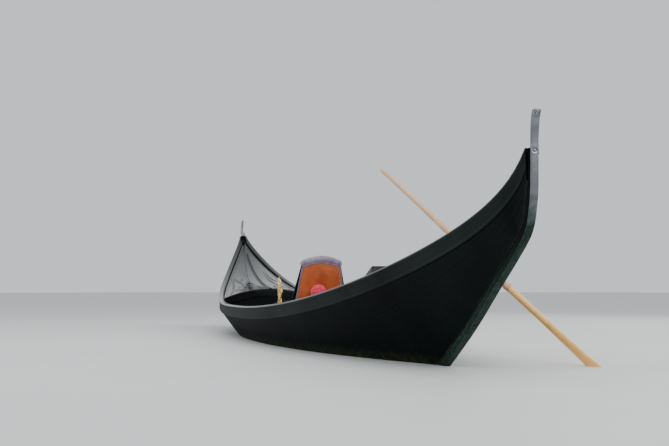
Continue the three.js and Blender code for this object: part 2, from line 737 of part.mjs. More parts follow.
function forcola() {
  const foot = blockZ + BLOCK.high + GAP;
  const coneTop = CROTCH.z - SHAFT_R / Math.cos(THREE.MathUtils.degToRad(OAR.dive)) - 0.6;
  // columns: height, shift outboard, shift aft, half-length along the boat, half-width across it
  const stations = [
    [foot, 0, 0, 46, 19],
    [foot + 50, 0, 0, 40, 20],
    [foot + 105, 4, -12, 33, 23],
    [foot + 160, 14, -24, 38, 28],
    [foot + 205, 26, -24, 46, 31],
    [foot + 245, 34, -12, 44, 30],
    [coneTop - 26, 45, 0, 34, 26],
  ];
  const sides = 10;
  const top = stations.at(-1);
  const body = loft(
    stations.map(([z, out, aft, long, wide], s) =>
      Array.from({ length: sides }, (_, i) => {
        const a = (i / sides) * 2 * Math.PI;
        const blend = s === stations.length - 1 ? 1 : 0;
        const y = blend ? CROTCH.y : blockY - out;
        return new THREE.Vector3(
          CROTCH.x + (blend ? 0 : aft) + Math.cos(a) * long,
          y + Math.sin(a) * wide,
          z,
        );
      }),
    ),
  );
  const coneHeight = 34;
  const coneR = coneHeight / Math.tan(THREE.MathUtils.degToRad(OAR.dive + 1.5));
  const cone = new THREE.ConeGeometry(coneR, coneHeight, 16).rotateX(Math.PI / 2);
  cone.translate(CROTCH.x, CROTCH.y, coneTop - coneHeight / 2);
  const round = new THREE.CylinderGeometry(34, 30, 80, 16).rotateX(Math.PI / 2);
  const trimmed = toSolid(cone).intersect(toSolid(round.translate(CROTCH.x, CROTCH.y, top[0] + 20)));
  // the horn stands forward and outboard of the shaft, clear of its whole sweep
  const horn = (() => {
    const dir = new THREE.Vector2(Math.cos(HORN_TURN), Math.sin(HORN_TURN));
    const side = new THREE.Vector2(-dir.y, dir.x);
    const at = (d, w, z) =>
      new THREE.Vector3(CROTCH.x + dir.x * d + side.x * w, CROTCH.y + dir.y * d + side.y * w, z);
    const slab = (z, d0, d1, w) => [at(d0, -w, z), at(d1, -w, z), at(d1, w, z), at(d0, w, z)];
    return loft([
      slab(top[0] - 60, 6, 28, 13),
      slab(top[0] - 16, 26, 56, 15),
      slab(CROTCH.z - 24, 44, 74, 15),
      slab(CROTCH.z + 20, 50, 78, 14),
      slab(CROTCH.z + 62, 48, 72, 12),
      slab(CROTCH.z + 96, 41, 58, 9),
    ]);
  })();
  return toGeometry(toSolid(body).add(trimmed).add(toSolid(horn)));
}
add("forcola", forcola(), walnut);

// Main seat: base, board, cushion, and a back with a high rounded middle
const SEAT_X = -350; // aft face of the back
const SEAT_Y = 140;
const SEAT_BOARD = 150;
const seatFoot = FLOOR_TOP + GAP;
const BACK_LEAN = 14; // degrees

// Low scrolled arm, its aft edge along the leaning back
function seatArm(y0, y1) {
  const lean = Math.tan(THREE.MathUtils.degToRad(BACK_LEAN));
  const s = new THREE.Shape();
  s.moveTo(0, 0);
  s.lineTo(380, 0);
  s.bezierCurveTo(372, 60, 380, 105, 425, 128);
  s.bezierCurveTo(468, 150, 462, 205, 414, 205);
  s.bezierCurveTo(384, 205, 372, 188, 340, 182);
  s.quadraticCurveTo(150, 160, -220 * lean, 220);
  return plateXZ(s, y1 - y0).translate(SEAT_X + 30, (y0 + y1) / 2, SEAT_BOARD + 21);
}
const PLINTH = { aft: SEAT_X + 20, fore: SEAT_X + 480, half: 390 };
const plinthSides = [SEAT_Y - PLINTH.half, SEAT_Y + PLINTH.half];
add("seat_base", box(PLINTH.aft, PLINTH.fore, ...plinthSides, seatFoot, SEAT_BOARD - GAP), lacquer);
const BOARD_THICK = 22;
const boardTop = SEAT_BOARD + BOARD_THICK;
const seatBoard = box(SEAT_X, SEAT_X + 520, SEAT_Y - 470, SEAT_Y + 470, SEAT_BOARD, boardTop);
const ARM = { inner: 404, outer: 468 }; // across the boat from the seat's middle
const portArm = seatArm(SEAT_Y + ARM.inner, SEAT_Y + ARM.outer);
const starboardArm = seatArm(SEAT_Y - ARM.outer, SEAT_Y - ARM.inner);
add("seat_board", union(seatBoard, portArm, starboardArm), lacquer);
const cushionZ = boardTop + GAP;
const CUSHION = { aft: 110, fore: 515, half: 400, thick: 85 };
const seatPad = box(
  SEAT_X + CUSHION.aft,
  SEAT_X + CUSHION.fore,
  SEAT_Y - CUSHION.half,
  SEAT_Y + CUSHION.half,
  cushionZ,
  cushionZ + CUSHION.thick,
);
add("seat_cushion", seatPad, orangeLeather);

const back = new THREE.Group();
back.position.set(SEAT_X, SEAT_Y, cushionZ);
back.rotation.y = THREE.MathUtils.degToRad(-BACK_LEAN);
boat.add(back);
const BACK = { foot: 285, shoulder: 205, wing: 470, wingTop: 255, shoulderZ: 612, top: 658 };
function backOutline(inset, bottom) {
  const s = new THREE.Shape();
  const [w, f, sh] = [BACK.wing - inset, BACK.foot - inset, BACK.shoulder - inset];
  s.moveTo(-w, bottom);
  s.lineTo(w, bottom);
  s.lineTo(w, BACK.wingTop - 60 - inset);
  s.quadraticCurveTo(w - 10, BACK.wingTop - inset, w - 90, BACK.wingTop - inset);
  s.lineTo(f, BACK.wingTop - inset);
  s.lineTo(sh, BACK.shoulderZ - inset);
  s.quadraticCurveTo(0, BACK.top + 46 - inset, -sh, BACK.shoulderZ - inset);
  s.lineTo(-f, BACK.wingTop - inset);
  s.lineTo(-w + 90, BACK.wingTop - inset);
  s.quadraticCurveTo(-w + 10, BACK.wingTop - inset, -w, BACK.wingTop - 60 - inset);
  return s;
}
const BACK_THICK = 26;
add("seat_back", plateYZ(backOutline(0, GAP), BACK_THICK), lacquer, back);
const padShape = (() => {
  const s = new THREE.Shape();
  s.moveTo(-BACK.foot + 24, 96);
  s.lineTo(BACK.foot - 24, 96);
  s.lineTo(BACK.shoulder - 16, BACK.shoulderZ - 14);
  s.quadraticCurveTo(0, BACK.top + 26, -BACK.shoulder + 16, BACK.shoulderZ - 14);
  return s;
})();
const PAD_THICK = 55;
const PANEL_COVER = 10;
add("back_pad", plateYZ(padShape, PAD_THICK).translate(BACK_THICK + GAP, 0, 0), orangeLeather, back);
add("back_panel", plateYZ(padShape, PANEL_COVER).translate(-PANEL_COVER - GAP, 0, 0), orangeLeather, back);

// Padded roll over the top of the back
const ROLL_R = 30;
function crestRoll() {
  const outline = new THREE.QuadraticBezierCurve(
    new THREE.Vector2(BACK.shoulder, BACK.shoulderZ),
    new THREE.Vector2(0, BACK.top + 46),
    new THREE.Vector2(-BACK.shoulder, BACK.shoulderZ),
  );
  const steps = 12;
  const sides = 10;
  const rings = [];
  for (let i = 0; i <= steps; i++) {
    const p = outline.getPoint(i / steps);
    const t = outline.getTangent(i / steps);
    const n = new THREE.Vector2(t.y, -t.x);
    const end = Math.sin((Math.PI * (i + 0.6)) / (steps + 1.2));
    const r = ROLL_R * (0.55 + 0.45 * Math.sqrt(end));
    const c = p.clone().addScaledVector(n, r + 0.6);
    rings.push(
      Array.from({ length: sides }, (_, j) => {
        const a = ((j + 0.5) / sides) * 2 * Math.PI;
        const rise = Math.sin(a) * r;
        return new THREE.Vector3(BACK_THICK / 2 + Math.cos(a) * r, c.x + n.x * rise, c.y + n.y * rise);
      }),
    );
  }
  return loft(rings);
}
add("crest_roll", crestRoll(), crestSilver, back);
// Wool tassel on the aft side of the back
const POMPOM_R = 72;
const POMPOM = { y: 30, z: 368, flat: 0.75 };
const pompomX = -PANEL_COVER - GAP - POMPOM_R * POMPOM.flat - SEAT;
const pompom = new THREE.SphereGeometry(POMPOM_R, 14, 10).scale(POMPOM.flat, 1.1, 0.9);
add("pompom", pompom.translate(pompomX, POMPOM.y, POMPOM.z), redWool, back);

// Side chairs: one to port, one to starboard farther forward
function chairFrame(w, d, seatZ, backZ) {
  const t = 26;
  const leg = (x, y) => box(x, x + t, y, y + t, 0, seatZ);
  const parts = [
    leg(0, 0),
    leg(d - t, 0),
    leg(0, w - t),
    leg(d - t, w - t),
    box(0, d, 0, w, seatZ - 22, seatZ),
    box(0, t, 0, w, seatZ - 1, backZ - 60),
    plateYZ(
      new THREE.Shape([
        new THREE.Vector2(0, backZ - 61),
        new THREE.Vector2(w, backZ - 61),
        new THREE.Vector2(w - 30, backZ - 14),
        new THREE.Vector2(w / 2, backZ),
        new THREE.Vector2(30, backZ - 14),
      ]),
      t,
    ),
    box(0, d * 0.8, 0, t, seatZ + 120, seatZ + 142),
    box(0, d * 0.8, w - t, w, seatZ + 120, seatZ + 142),
    box(d * 0.8 - t, d * 0.8, 0, t, seatZ - 1, seatZ + 121),
    box(d * 0.8 - t, d * 0.8, w - t, w, seatZ - 1, seatZ + 121),
  ];
  return union(...parts);
}
const CHAIR = { w: 400, d: 360, seatZ: 250, backZ: 520 };
// columns: name, corner x, corner y, turn in degrees
const chairs = [
  ["port", 1020, 160, 90],
  ["starboard", 1150, 30, -90],
];
for (const [name, x, y, turn] of chairs) {
  const chair = new THREE.Group();
  chair.position.set(x, y, FLOOR_TOP + GAP);
  chair.rotation.z = THREE.MathUtils.degToRad(turn);
  boat.add(chair);
  add(`chair_${name}`, chairFrame(CHAIR.w, CHAIR.d, CHAIR.seatZ, CHAIR.backZ), lacquer, chair);
  const pad = box(30, CHAIR.d - 4, 30, CHAIR.w - 30, CHAIR.seatZ + GAP, CHAIR.seatZ + 60);
  add(`chair_${name}_cushion`, pad, orangeLeather, chair);
}

// Bench against the bow panel, facing aft
const BENCH = { x0: 2010, x1: 2330, half: 330, z: 130, legIn: 96, leg: 24 };
const benchY = 90;
const benchLeg = [benchY - BENCH.half + BENCH.legIn, benchY + BENCH.half - BENCH.legIn];
const bench = union(
  box(BENCH.x0, BENCH.x1, benchY - BENCH.half, benchY + BENCH.half, BENCH.z - BENCH.leg, BENCH.z),
  ...[BENCH.x0 + 30, BENCH.x1 - 54].map((x) =>
    box(x, x + BENCH.leg, ...benchLeg, FLOOR_TOP + GAP, BENCH.z - BENCH.leg + 1),
  ),
);
add("bow_bench", bench, lacquer);
const benchPad = box(BENCH.x0 + 6, BENCH.x1 - 6, benchY - 310, benchY + 310, BENCH.z + GAP, BENCH.z + 62);
add("bow_bench_cushion", benchPad, orangeLeather);

// Carpet on the floorboards between the main seat and the chairs
add("carpet", box(190, 600, -290, 470, FLOOR_TOP + GAP, FLOOR_TOP + CARPET), carpetCloth);

// Brass sea horse on each rail aft of the main seat: body, foreleg and mane as tapered ribbons on a foot
const HORSE_X = -1530;
const HORSE_THICK = 24;
// columns: along the boat, height, half-width
const horseBody = [
  [-54, 108, 5], [-66, 120, 8], [-80, 110, 9], [-78, 88, 11], [-56, 68, 15], [-26, 58, 20], [2, 68, 25],
  [20, 96, 26], [24, 130, 23], [22, 160, 19], [32, 190, 18], [50, 208, 16], [70, 204, 12], [90, 190, 8],
];
const horseLeg = [[30, 110, 12], [58, 124, 9], [78, 114, 7], [92, 122, 5]];
const horseMane = [[4, 100, 8], [-8, 140, 13], [0, 180, 14], [22, 216, 11], [36, 232, 5]];
function ribbon(table) {
  const line = new THREE.SplineCurve(table.map(([x, z]) => new THREE.Vector2(x, z)));
  const widths = new THREE.SplineCurve(table.map(([, , w], i) => new THREE.Vector2(i, w)));
  const steps = (table.length - 1) * 2;
  const edge = (side) =>
    Array.from({ length: steps + 1 }, (_, i) => {
      const t = line.getTangent(i / steps);
      const w = widths.getPoint(i / steps).y * side;
      return line.getPoint(i / steps).add(new THREE.Vector2(-t.y * w, t.x * w));
    });
  return plateXZ(new THREE.Shape([...edge(1), ...edge(-1).reverse()]), HORSE_THICK);
}
function seaHorse(side) {
  const foot = [box(-75, 75, -12, 12, 0, 14), box(-14, 20, -12, 12, 13, 60)];
  const horse = union(...foot, ...[horseBody, horseLeg, horseMane].map(ribbon));
  const y = sheerHalf(HORSE_X, side) - 22;
  const top = Math.max(sheerZ(HORSE_X - 75), sheerZ(HORSE_X + 75)) + CAP_TOP + SEAT;
  return horse.translate(HORSE_X, y * side, top);
}
add("sea_horse_port", seaHorse(1), brass);
add("sea_horse_starboard", seaHorse(-1), brass);

// Wedge on the stern deck for the rower's rear foot, and the mat beside it
const WEDGE_X = -2950;
function footWedge() {
  const c = deckCentre(WEDGE_X) + 150;
  const across = [-90, -60, -30, 0, 30, 60, 90].map((y) => c + y);
  // columns: place along the boat, rise above the deck
  const profile = [
    [WEDGE_X - 130, 86],
    [-2900, 44],
    [WEDGE_X + 130, 16],
  ];
  return loft(
    profile.map(([x, rise]) => {
      const under = across.map((y) => [y, deckTop(x, y) + 1.5]).reverse();
      const top = [across[0], across.at(-1)].map((y) => [y, deckTop(x, across[0]) + rise]);
      return ring([...top, ...under], x);
    }),
  );
}
add("foot_wedge", footWedge(), floorWood);

export default boat;
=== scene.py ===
# Rowing gondola, afloat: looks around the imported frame. Metres, +X to the bow, +Y to port, +Z up.
import math

import bmesh
import bpy
import numpy as np
from mathutils import Matrix, Vector
from mathutils.bvhtree import BVHTree
from mathutils.geometry import interpolate_bezier


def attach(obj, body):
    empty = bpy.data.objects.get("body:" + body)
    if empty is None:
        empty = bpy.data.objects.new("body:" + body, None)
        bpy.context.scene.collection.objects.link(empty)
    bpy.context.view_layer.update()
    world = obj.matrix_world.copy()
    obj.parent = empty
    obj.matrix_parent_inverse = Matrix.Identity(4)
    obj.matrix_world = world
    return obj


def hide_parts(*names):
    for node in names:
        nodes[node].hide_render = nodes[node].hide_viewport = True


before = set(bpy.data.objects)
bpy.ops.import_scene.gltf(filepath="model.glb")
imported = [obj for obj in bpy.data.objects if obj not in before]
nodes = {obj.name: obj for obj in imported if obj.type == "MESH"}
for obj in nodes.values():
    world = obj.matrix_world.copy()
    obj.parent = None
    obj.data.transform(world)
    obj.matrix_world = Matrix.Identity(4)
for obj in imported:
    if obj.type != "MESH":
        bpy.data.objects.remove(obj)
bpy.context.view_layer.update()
scene = bpy.context.scene

# Camera, at the photograph's angle
shot = {"place": (-12.307, 2.867, 0.606), "heading": (0.972, -0.2356), "pitch": 2.81, "lens": 65.08, "film": 36.0,
        "reach": 400.0}

cameraData = bpy.data.cameras.new("photoCamera")
cameraData.sensor_width = shot["film"]
cameraData.lens = shot["lens"]
cameraData.clip_end = shot["reach"]
camera = bpy.data.objects.new("photoCamera", cameraData)
scene.collection.objects.link(camera)
level = Vector((*shot["heading"], 0)).normalized()
pitch = math.radians(shot["pitch"])
camera.location = shot["place"]
sightLine = level * math.cos(pitch) + Vector((0, 0, math.sin(pitch)))
camera.rotation_euler = sightLine.to_track_quat("-Z", "Y").to_euler()
scene.camera = camera
print("camera set")

# Numbers and curves
cornerShare = 0.45  # the most of a side that one eased corner takes


def mix(a, b, t):
    return a + (b - a) * t


def clamp01(t):
    return min(1.0, max(0.0, t))


def bezier(points, steps):
    return [p.to_2d() for p in interpolate_bezier(*[Vector((*p, 0)) for p in points], steps + 1)]


def trace(start, *legs, steps=12):  # a leg is an end, a bend and an end, or two handles and an end
    points = [Vector(start)]
    for leg in legs:
        here, ends = points[-1], [Vector(leg[i:i + 2]) for i in range(0, len(leg), 2)]
        if len(ends) == 1:
            points.append(ends[0])
            continue
        if len(ends) == 2:
            ends = [here.lerp(ends[0], 2 / 3), ends[1].lerp(ends[0], 2 / 3), ends[1]]
        points += bezier([here] + ends, steps)[1:]
    return points


def throughPoints(points, steps=8):  # smooth line through every point
    points = [Vector(p) for p in points]
    ends = points[:1] + points + points[-1:]
    line = []
    for i in range(1, len(ends) - 2):
        a, b, c, d = ends[i - 1:i + 3]
        for k in range(steps):
            t = k / steps
            line.append(0.5 * ((2 * b) + (c - a) * t + (2 * a - 5 * b + 4 * c - d) * t ** 2
                               + (3 * b - a - 3 * c + d) * t ** 3))
    return line + [points[-1]]


def roundCorners(points, radius, steps=3):  # closed outline with eased corners
    made = []
    count = len(points)
    for i, p in enumerate(points):
        p, a, b = Vector(p), Vector(points[i - 1]), Vector(points[(i + 1) % count])
        cutA, cutB = [min(radius, (q - p).length * cornerShare) for q in (a, b)]
        start, end = p + (a - p).normalized() * cutA, p + (b - p).normalized() * cutB
        for k in range(steps + 1):
            t = k / steps
            made.append(start * (1 - t) ** 2 + p * 2 * t * (1 - t) + end * t ** 2)
    return made


def circleAngles(count):
    return [2 * math.pi * k / count for k in range(count)]


# Mesh pieces
def meshFrom(work, name):
    mesh = bpy.data.meshes.new(name)
    work.to_mesh(mesh)
    work.free()
    return mesh


def setShade(mesh, sharp=35):
    work = bmesh.new()
    work.from_mesh(mesh)
    bmesh.ops.recalc_face_normals(work, faces=work.faces)
    for face in work.faces:
        face.smooth = True
    for edge in work.edges:
        edge.smooth = len(edge.link_faces) != 2 or edge.calc_face_angle(0) < math.radians(sharp)
    work.to_mesh(mesh)
    work.free()


def newPiece(name, mesh, *materials):
    piece = bpy.data.objects.new(name, mesh)
    scene.collection.objects.link(piece)
    if materials:
        mesh.materials.clear()
    for material in materials:
        mesh.materials.append(material)
    return piece


def fromLists(name, verts, faces, materials, kinds=None, sharp=35):
    mesh = bpy.data.meshes.new(name)
    mesh.from_pydata([tuple(v) for v in verts], [], faces)
    piece = newPiece(name, mesh, *materials)
    if kinds:
        mesh.polygons.foreach_set("material_index", kinds)
    mesh.update()
    setShade(mesh, sharp)
    return piece


def loft(name, rings, materials, kindOf=None, sharp=35):
    count = len(rings[0])
    faces, kinds = [], []
    for i in range(len(rings) - 1):
        for j in range(count):
            k = (j + 1) % count
            faces.append((i * count + j, i * count + k, (i + 1) * count + k, (i + 1) * count + j))
            kinds.append(kindOf(i, j) if kindOf else 0)
    faces += [tuple(range(count))[::-1], tuple(range((len(rings) - 1) * count, len(rings) * count))]
    kinds += [0, 0]
    return fromLists(name, [p for ring in rings for p in ring], faces, materials, kinds, sharp)


def marked(piece, label, values):  # numbers on the points, for a material to read
    piece.data.attributes.new(label, "FLOAT", "POINT").data.foreach_set("value", values)


def baked(piece):  # modifiers turned into plain mesh
    graph = bpy.context.evaluated_depsgraph_get()
    final = piece.evaluated_get(graph)
    mesh = bpy.data.meshes.new_from_object(final, preserve_all_data_layers=True, depsgraph=graph)
    piece.modifiers.clear()
    piece.data = mesh
    return piece


def eased(piece, width, segments=2, angle=30):
    bevel = piece.modifiers.new("ease", "BEVEL")
    bevel.width, bevel.segments, bevel.angle_limit = width, segments, math.radians(angle)
    bevel.limit_method = "ANGLE"
    bevel.use_clamp_overlap = True
    baked(piece)
    setShade(piece.data, 40)
    flatter = piece.modifiers.new("flatter", "WEIGHTED_NORMAL")  # broad faces look flat up to their edges
    flatter.keep_sharp = True
    return baked(piece)


def plate(name, outline, thickness, placed, materials, ease=0.0):  # placed turns (a, b, depth) into a point
    count = len(outline)
    verts = [placed(p[0], p[1], d) for d in (-thickness / 2, thickness / 2) for p in outline]
    faces = [tuple(range(count)), tuple(range(2 * count - 1, count - 1, -1))]
    faces += [(j, count + j, count + (j + 1) % count, (j + 1) % count) for j in range(count)]
    piece = fromLists(name, verts, faces, materials)
    return eased(piece, ease) if ease else piece


def dressed(nodeName, name, material, ease=0.003, segments=2):  # a merged copy of a frame node, edges eased
    work = bmesh.new()
    work.from_mesh(nodes[nodeName].data)
    bmesh.ops.remove_doubles(work, verts=work.verts, dist=2e-5)
    bmesh.ops.dissolve_limit(work, angle_limit=math.radians(1.5), verts=work.verts, edges=work.edges)
    mesh = meshFrom(work, name)
    for label in [a.name for a in mesh.attributes if a.name.startswith("custom")]:
        mesh.attributes.remove(mesh.attributes[label])
    piece = newPiece(name, mesh, material)
    return eased(piece, ease, segments, 25) if ease else piece


def nodeBox(nodeName):
    points = np.array([v.co for v in nodes[nodeName].data.vertices])
    return Vector(points.min(axis=0)), Vector(points.max(axis=0))


def settle(piece, slotName, *stoodFor, body="hull"):
    if stoodFor:
        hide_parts(*stoodFor)
    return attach(piece, body)


def joined(name, pieces):
    work = bmesh.new()
    materials = []
    for piece in pieces:
        start = len(work.faces)
        work.from_mesh(piece.data)
        work.faces.ensure_lookup_table()
        for face in work.faces[start:]:
            material = piece.data.materials[face.material_index]
            if material not in materials:
                materials.append(material)
            face.material_index = materials.index(material)
    mesh = meshFrom(work, name)
    for piece in pieces:
        bpy.data.objects.remove(piece)
    return newPiece(name, mesh, *materials)


def remeshed(piece, voxel):
    remesh = piece.modifiers.new("remesh", "REMESH")
    remesh.mode, remesh.voxel_size = "VOXEL", voxel


def painted(piece, material):
    piece.data.materials.clear()
    piece.data.materials.append(material)
    setShade(piece.data, 80)
    return piece


def polishedDown(piece, voxel, rounds, material):  # made one skin, its edges worn round
    remeshed(piece, voxel)
    smooth = piece.modifiers.new("smooth", "SMOOTH")
    smooth.factor, smooth.iterations = 0.5, rounds
    return painted(baked(piece), material)


# Material helpers
def add(tree, kind, inputs=None, **settings):
    made = tree.nodes.new(kind)
    for key, value in settings.items():
        setattr(made, key, value)
    for key, value in (inputs or {}).items():
        if isinstance(value, bpy.types.NodeSocket):
            tree.links.new(value, made.inputs[key])
        else:
            made.inputs[key].default_value = value
    return made


def output(tree, kind, inputs=None, **settings):
    return add(tree, kind, inputs, **settings).outputs[0]


def startMaterial(name, sockets):
    material = bpy.data.materials.new(name)
    material.use_nodes = True
    tree = material.node_tree
    shader = tree.nodes["Principled BSDF"]
    for key, value in sockets.items():
        shader.inputs[key].default_value = value
    return material, tree, shader, add(tree, "ShaderNodeTexCoord").outputs["Object"]


def noise(tree, where, scale, detail=3.0, rough=0.5, stretch=None):
    if stretch:
        where = output(tree, "ShaderNodeMapping", {"Vector": where, "Scale": stretch})
    look = {"Vector": where, "Scale": scale, "Detail": detail, "Roughness": rough}
    return output(tree, "ShaderNodeTexNoise", look)


def ramp(tree, value, *stops, shape="LINEAR"):
    made = add(tree, "ShaderNodeValToRGB", {"Fac": value})
    made.color_ramp.interpolation = shape
    marks = made.color_ramp.elements
    while len(marks) < len(stops):
        marks.new(0.5)
    for mark, (place, colour) in zip(marks, stops):
        mark.position, mark.color = place, (*colour, 1.0)
    return made.outputs[0]


def spread(tree, value, low, high, fromLow=0.0, fromHigh=1.0):
    settings = {"Value": value, "From Min": fromLow, "From Max": fromHigh, "To Min": low, "To Max": high}
    return output(tree, "ShaderNodeMapRange", settings)


def blended(tree, factor, under, over):  # over is a plain colour or a socket
    over = (*over, 1.0) if isinstance(over, tuple) else over
    return add(tree, "ShaderNodeMix", {0: factor, 6: under, 7: over}, data_type="RGBA").outputs[2]


def maths(tree, operation, a, b=0.0):
    return output(tree, "ShaderNodeMath", {0: a, 1: b}, operation=operation)


def part(tree, where, axis):
    return add(tree, "ShaderNodeSeparateXYZ", {0: where}).outputs[axis]


def bump(tree, height, strength, distance, under=None):
    settings = {"Height": height, "Strength": strength, "Distance": distance}
    if under:
        settings["Normal"] = under
    return output(tree, "ShaderNodeBump", settings)


def own(tree, label):
    return add(tree, "ShaderNodeAttribute", attribute_name=label).outputs["Fac"]


def wire(tree, shader, colour=None, rough=None, normal=None):
    for key, value in (("Base Color", colour), ("Roughness", rough), ("Normal", normal)):
        if value is not None:
            tree.links.new(value, shader.inputs[key])


# A band that thins out upwards to a ragged edge, between two heights: tide slime, weed near the water, and painted
# reflection of green water higher up
def bandBelow(tree, place, heights, scale, ragged, most=1.0):
    uneven = spread(tree, noise(tree, place, scale, 6, 0.7), -ragged, ragged)
    edge = maths(tree, "ADD", part(tree, place, 2), uneven)
    return spread(tree, edge, most, 0, *heights)


# Black lacquer, with a tide line and plank seams on the planking
blackPaint = {"dark": (0.0018, 0.0026, 0.0030), "light": (0.0048, 0.0068, 0.0074), "dust": (0.014, 0.016, 0.016)}
lacquers = {
    "hull": dict(blackPaint, gloss=0.20, ior=1.0, coat=0.08, coatRough=0.07),
    "deck": dict(blackPaint, gloss=0.06, ior=1.30, coat=0.30, coatRough=0.03),
    "trim": {"dark": (0.0060, 0.0078, 0.0080), "light": (0.0130, 0.0165, 0.0165), "dust": (0.024, 0.027, 0.026),
             "gloss": 0.16, "ior": 1.0, "coat": 0.13, "coatRough": 0.06},
}


# A weak coat over black keeps it black above a pale floor
def lacquerMaterial(name, kind, tide=False, seams=0, weedAndReflection=None):
    gloss = kind["gloss"]
    sockets = {"IOR": kind["ior"], "Coat Weight": kind["coat"], "Coat Roughness": kind["coatRough"]}
    material, tree, shader, place = startMaterial(name, sockets)
    broad = noise(tree, place, 1.7, 4, 0.55)
    grain = noise(tree, place, 9.0, 5, 0.6, (0.12, 1, 1))
    colour = ramp(tree, broad, (0.3, kind["dark"]), (0.72, kind["light"]))
    dust = spread(tree, noise(tree, place, 38, 6, 0.7), 0, 0.22, 0.55, 0.8)
    colour = blended(tree, dust, colour, kind["dust"])
    rough = spread(tree, noise(tree, place, 4.5, 6, 0.65), gloss, gloss + 0.16, 0.3, 0.75)
    normal = bump(tree, broad, 0.35, 0.010)
    normal = bump(tree, grain, 0.12, 0.0012, normal)
    if seams:
        edge = maths(tree, "PINGPONG", maths(tree, "MULTIPLY", own(tree, "plank"), float(seams)), 0.5)
        line = spread(tree, edge, 0, 1, 0.0, 0.035)
        normal = bump(tree, line, 0.5, 0.0025, normal)
        colour = blended(tree, spread(tree, line, 0.6, 0.0), colour, (0.0012, 0.0012, 0.0012))
    # green band up from the waterline: partly weed near the water, partly painted reflection of green water higher
    # up
    if weedAndReflection:
        skin = bandBelow(tree, place, weedAndReflection, 9, 0.14, 0.85)
        green = ramp(tree, noise(tree, place, 30, 5), (0.35, (0.007, 0.020, 0.013)), (0.7, (0.020, 0.050, 0.034)))
        colour = blended(tree, skin, colour, green)
        rough = maths(tree, "ADD", rough, spread(tree, skin, 0, 0.2))
    if tide:
        wet = bandBelow(tree, place, (0.0, 0.085), 7, 0.04)
        slime = ramp(tree, noise(tree, place, 24, 5), (0.35, (0.006, 0.010, 0.005)), (0.7, (0.030, 0.038, 0.016)))
        colour = blended(tree, wet, colour, slime)
        rough = maths(tree, "ADD", rough, spread(tree, wet, 0, 0.34))
        normal = bump(tree, noise(tree, place, 90, 4), 0.2, 0.001, normal)
    wire(tree, shader, colour, rough, normal)
    tree.links.new(normal, shader.inputs["Coat Normal"])
    return material


hullPaint = lacquerMaterial("hullPaint", lacquers["hull"], tide=True, seams=4)
deckLacquer = lacquerMaterial("deckLacquer", lacquers["deck"])
trimLacquer = lacquerMaterial("trimLacquer", lacquers["trim"])
# the stern post's green band up to 0.95 m is mostly painted reflection of green water
sternPostPaint = lacquerMaterial("sternPostPaint", lacquers["hull"], tide=True, weedAndReflection=(0.10, 0.95))
stemPaint = lacquerMaterial("stemPaint", lacquers["hull"], tide=True, weedAndReflection=(0.0, 0.35))


def insideMaterial():
    material, tree, shader, place = startMaterial("insidePaint", {"Coat Weight": 0.1})
    patches = noise(tree, place, 3, 6, 0.65)
    scuffs = noise(tree, place, 26, 5, 0.7, (0.2, 1, 1))
    colour = ramp(tree, patches, (0.3, (0.010, 0.011, 0.012)), (0.7, (0.026, 0.027, 0.027)))
    colour = blended(tree, spread(tree, scuffs, 0, 0.5, 0.62, 0.8), colour, (0.06, 0.056, 0.05))
    wire(tree, shader, colour, spread(tree, scuffs, 0.34, 0.6, 0.3, 0.7), bump(tree, scuffs, 0.25, 0.001))
    return material


insidePaint = insideMaterial()

metals = {
    "bolt": {"base": (0.80, 0.82, 0.86), "dull": (0.52, 0.53, 0.56), "rough": (0.12, 0.30), "brush": (1, 1, 1)},
    # steel's base colour is far darker than bare steel's: painted dark reflection of dark surroundings
    "steel": {"base": (0.22, 0.23, 0.26), "dull": (0.15, 0.145, 0.15), "rough": (0.18, 0.38), "brush": (1, 1, 14)},
    "brass": {"base": (0.80, 0.56, 0.22), "dull": (0.36, 0.21, 0.07), "rough": (0.16, 0.38), "brush": (1, 1, 1)},
}


def metalMaterial(name, metal):
    material, tree, shader, place = startMaterial(name, {"Metallic": 1.0})
    stains = noise(tree, place, 11, 6, 0.68)
    brushing = noise(tree, place, 70, 3, 0.6, metal["brush"])
    colour = ramp(tree, stains, (0.36, metal["dull"]), (0.56, metal["base"]))
    rough = maths(tree, "ADD", spread(tree, stains, metal["rough"][1], metal["rough"][0], 0.36, 0.6),
                  spread(tree, brushing, -0.04, 0.06))
    normal = bump(tree, brushing, 0.08, 0.0006, bump(tree, noise(tree, place, 16, 2), 0.15, 0.002))
    # green band up from below: partly weed near the water, partly painted reflection of green water higher up
    if "weedAndReflection" in metal:
        skin = bandBelow(tree, place, metal["weedAndReflection"], 13, 0.12)
        green = ramp(tree, noise(tree, place, 30, 5), (0.35, (0.014, 0.030, 0.022)), (0.7, (0.034, 0.066, 0.050)))
        colour = blended(tree, skin, colour, green)
        rough = maths(tree, "ADD", rough, spread(tree, skin, 0, 0.3))
    wire(tree, shader, colour, rough, normal)
    return material


polishedSteel = metalMaterial("polishedSteel", metals["steel"])
boltSteel = metalMaterial("boltSteel", metals["bolt"])
# the stern strap's green from 0.95 to 1.15 m is painted reflection of green water
sternSteel = metalMaterial("sternSteel", dict(metals["steel"], weedAndReflection=(0.95, 1.15)))
stemSteel = metalMaterial("stemSteel", dict(metals["steel"], weedAndReflection=(0.25, 0.60)))
polishedBrass = metalMaterial("polishedBrass", metals["brass"])


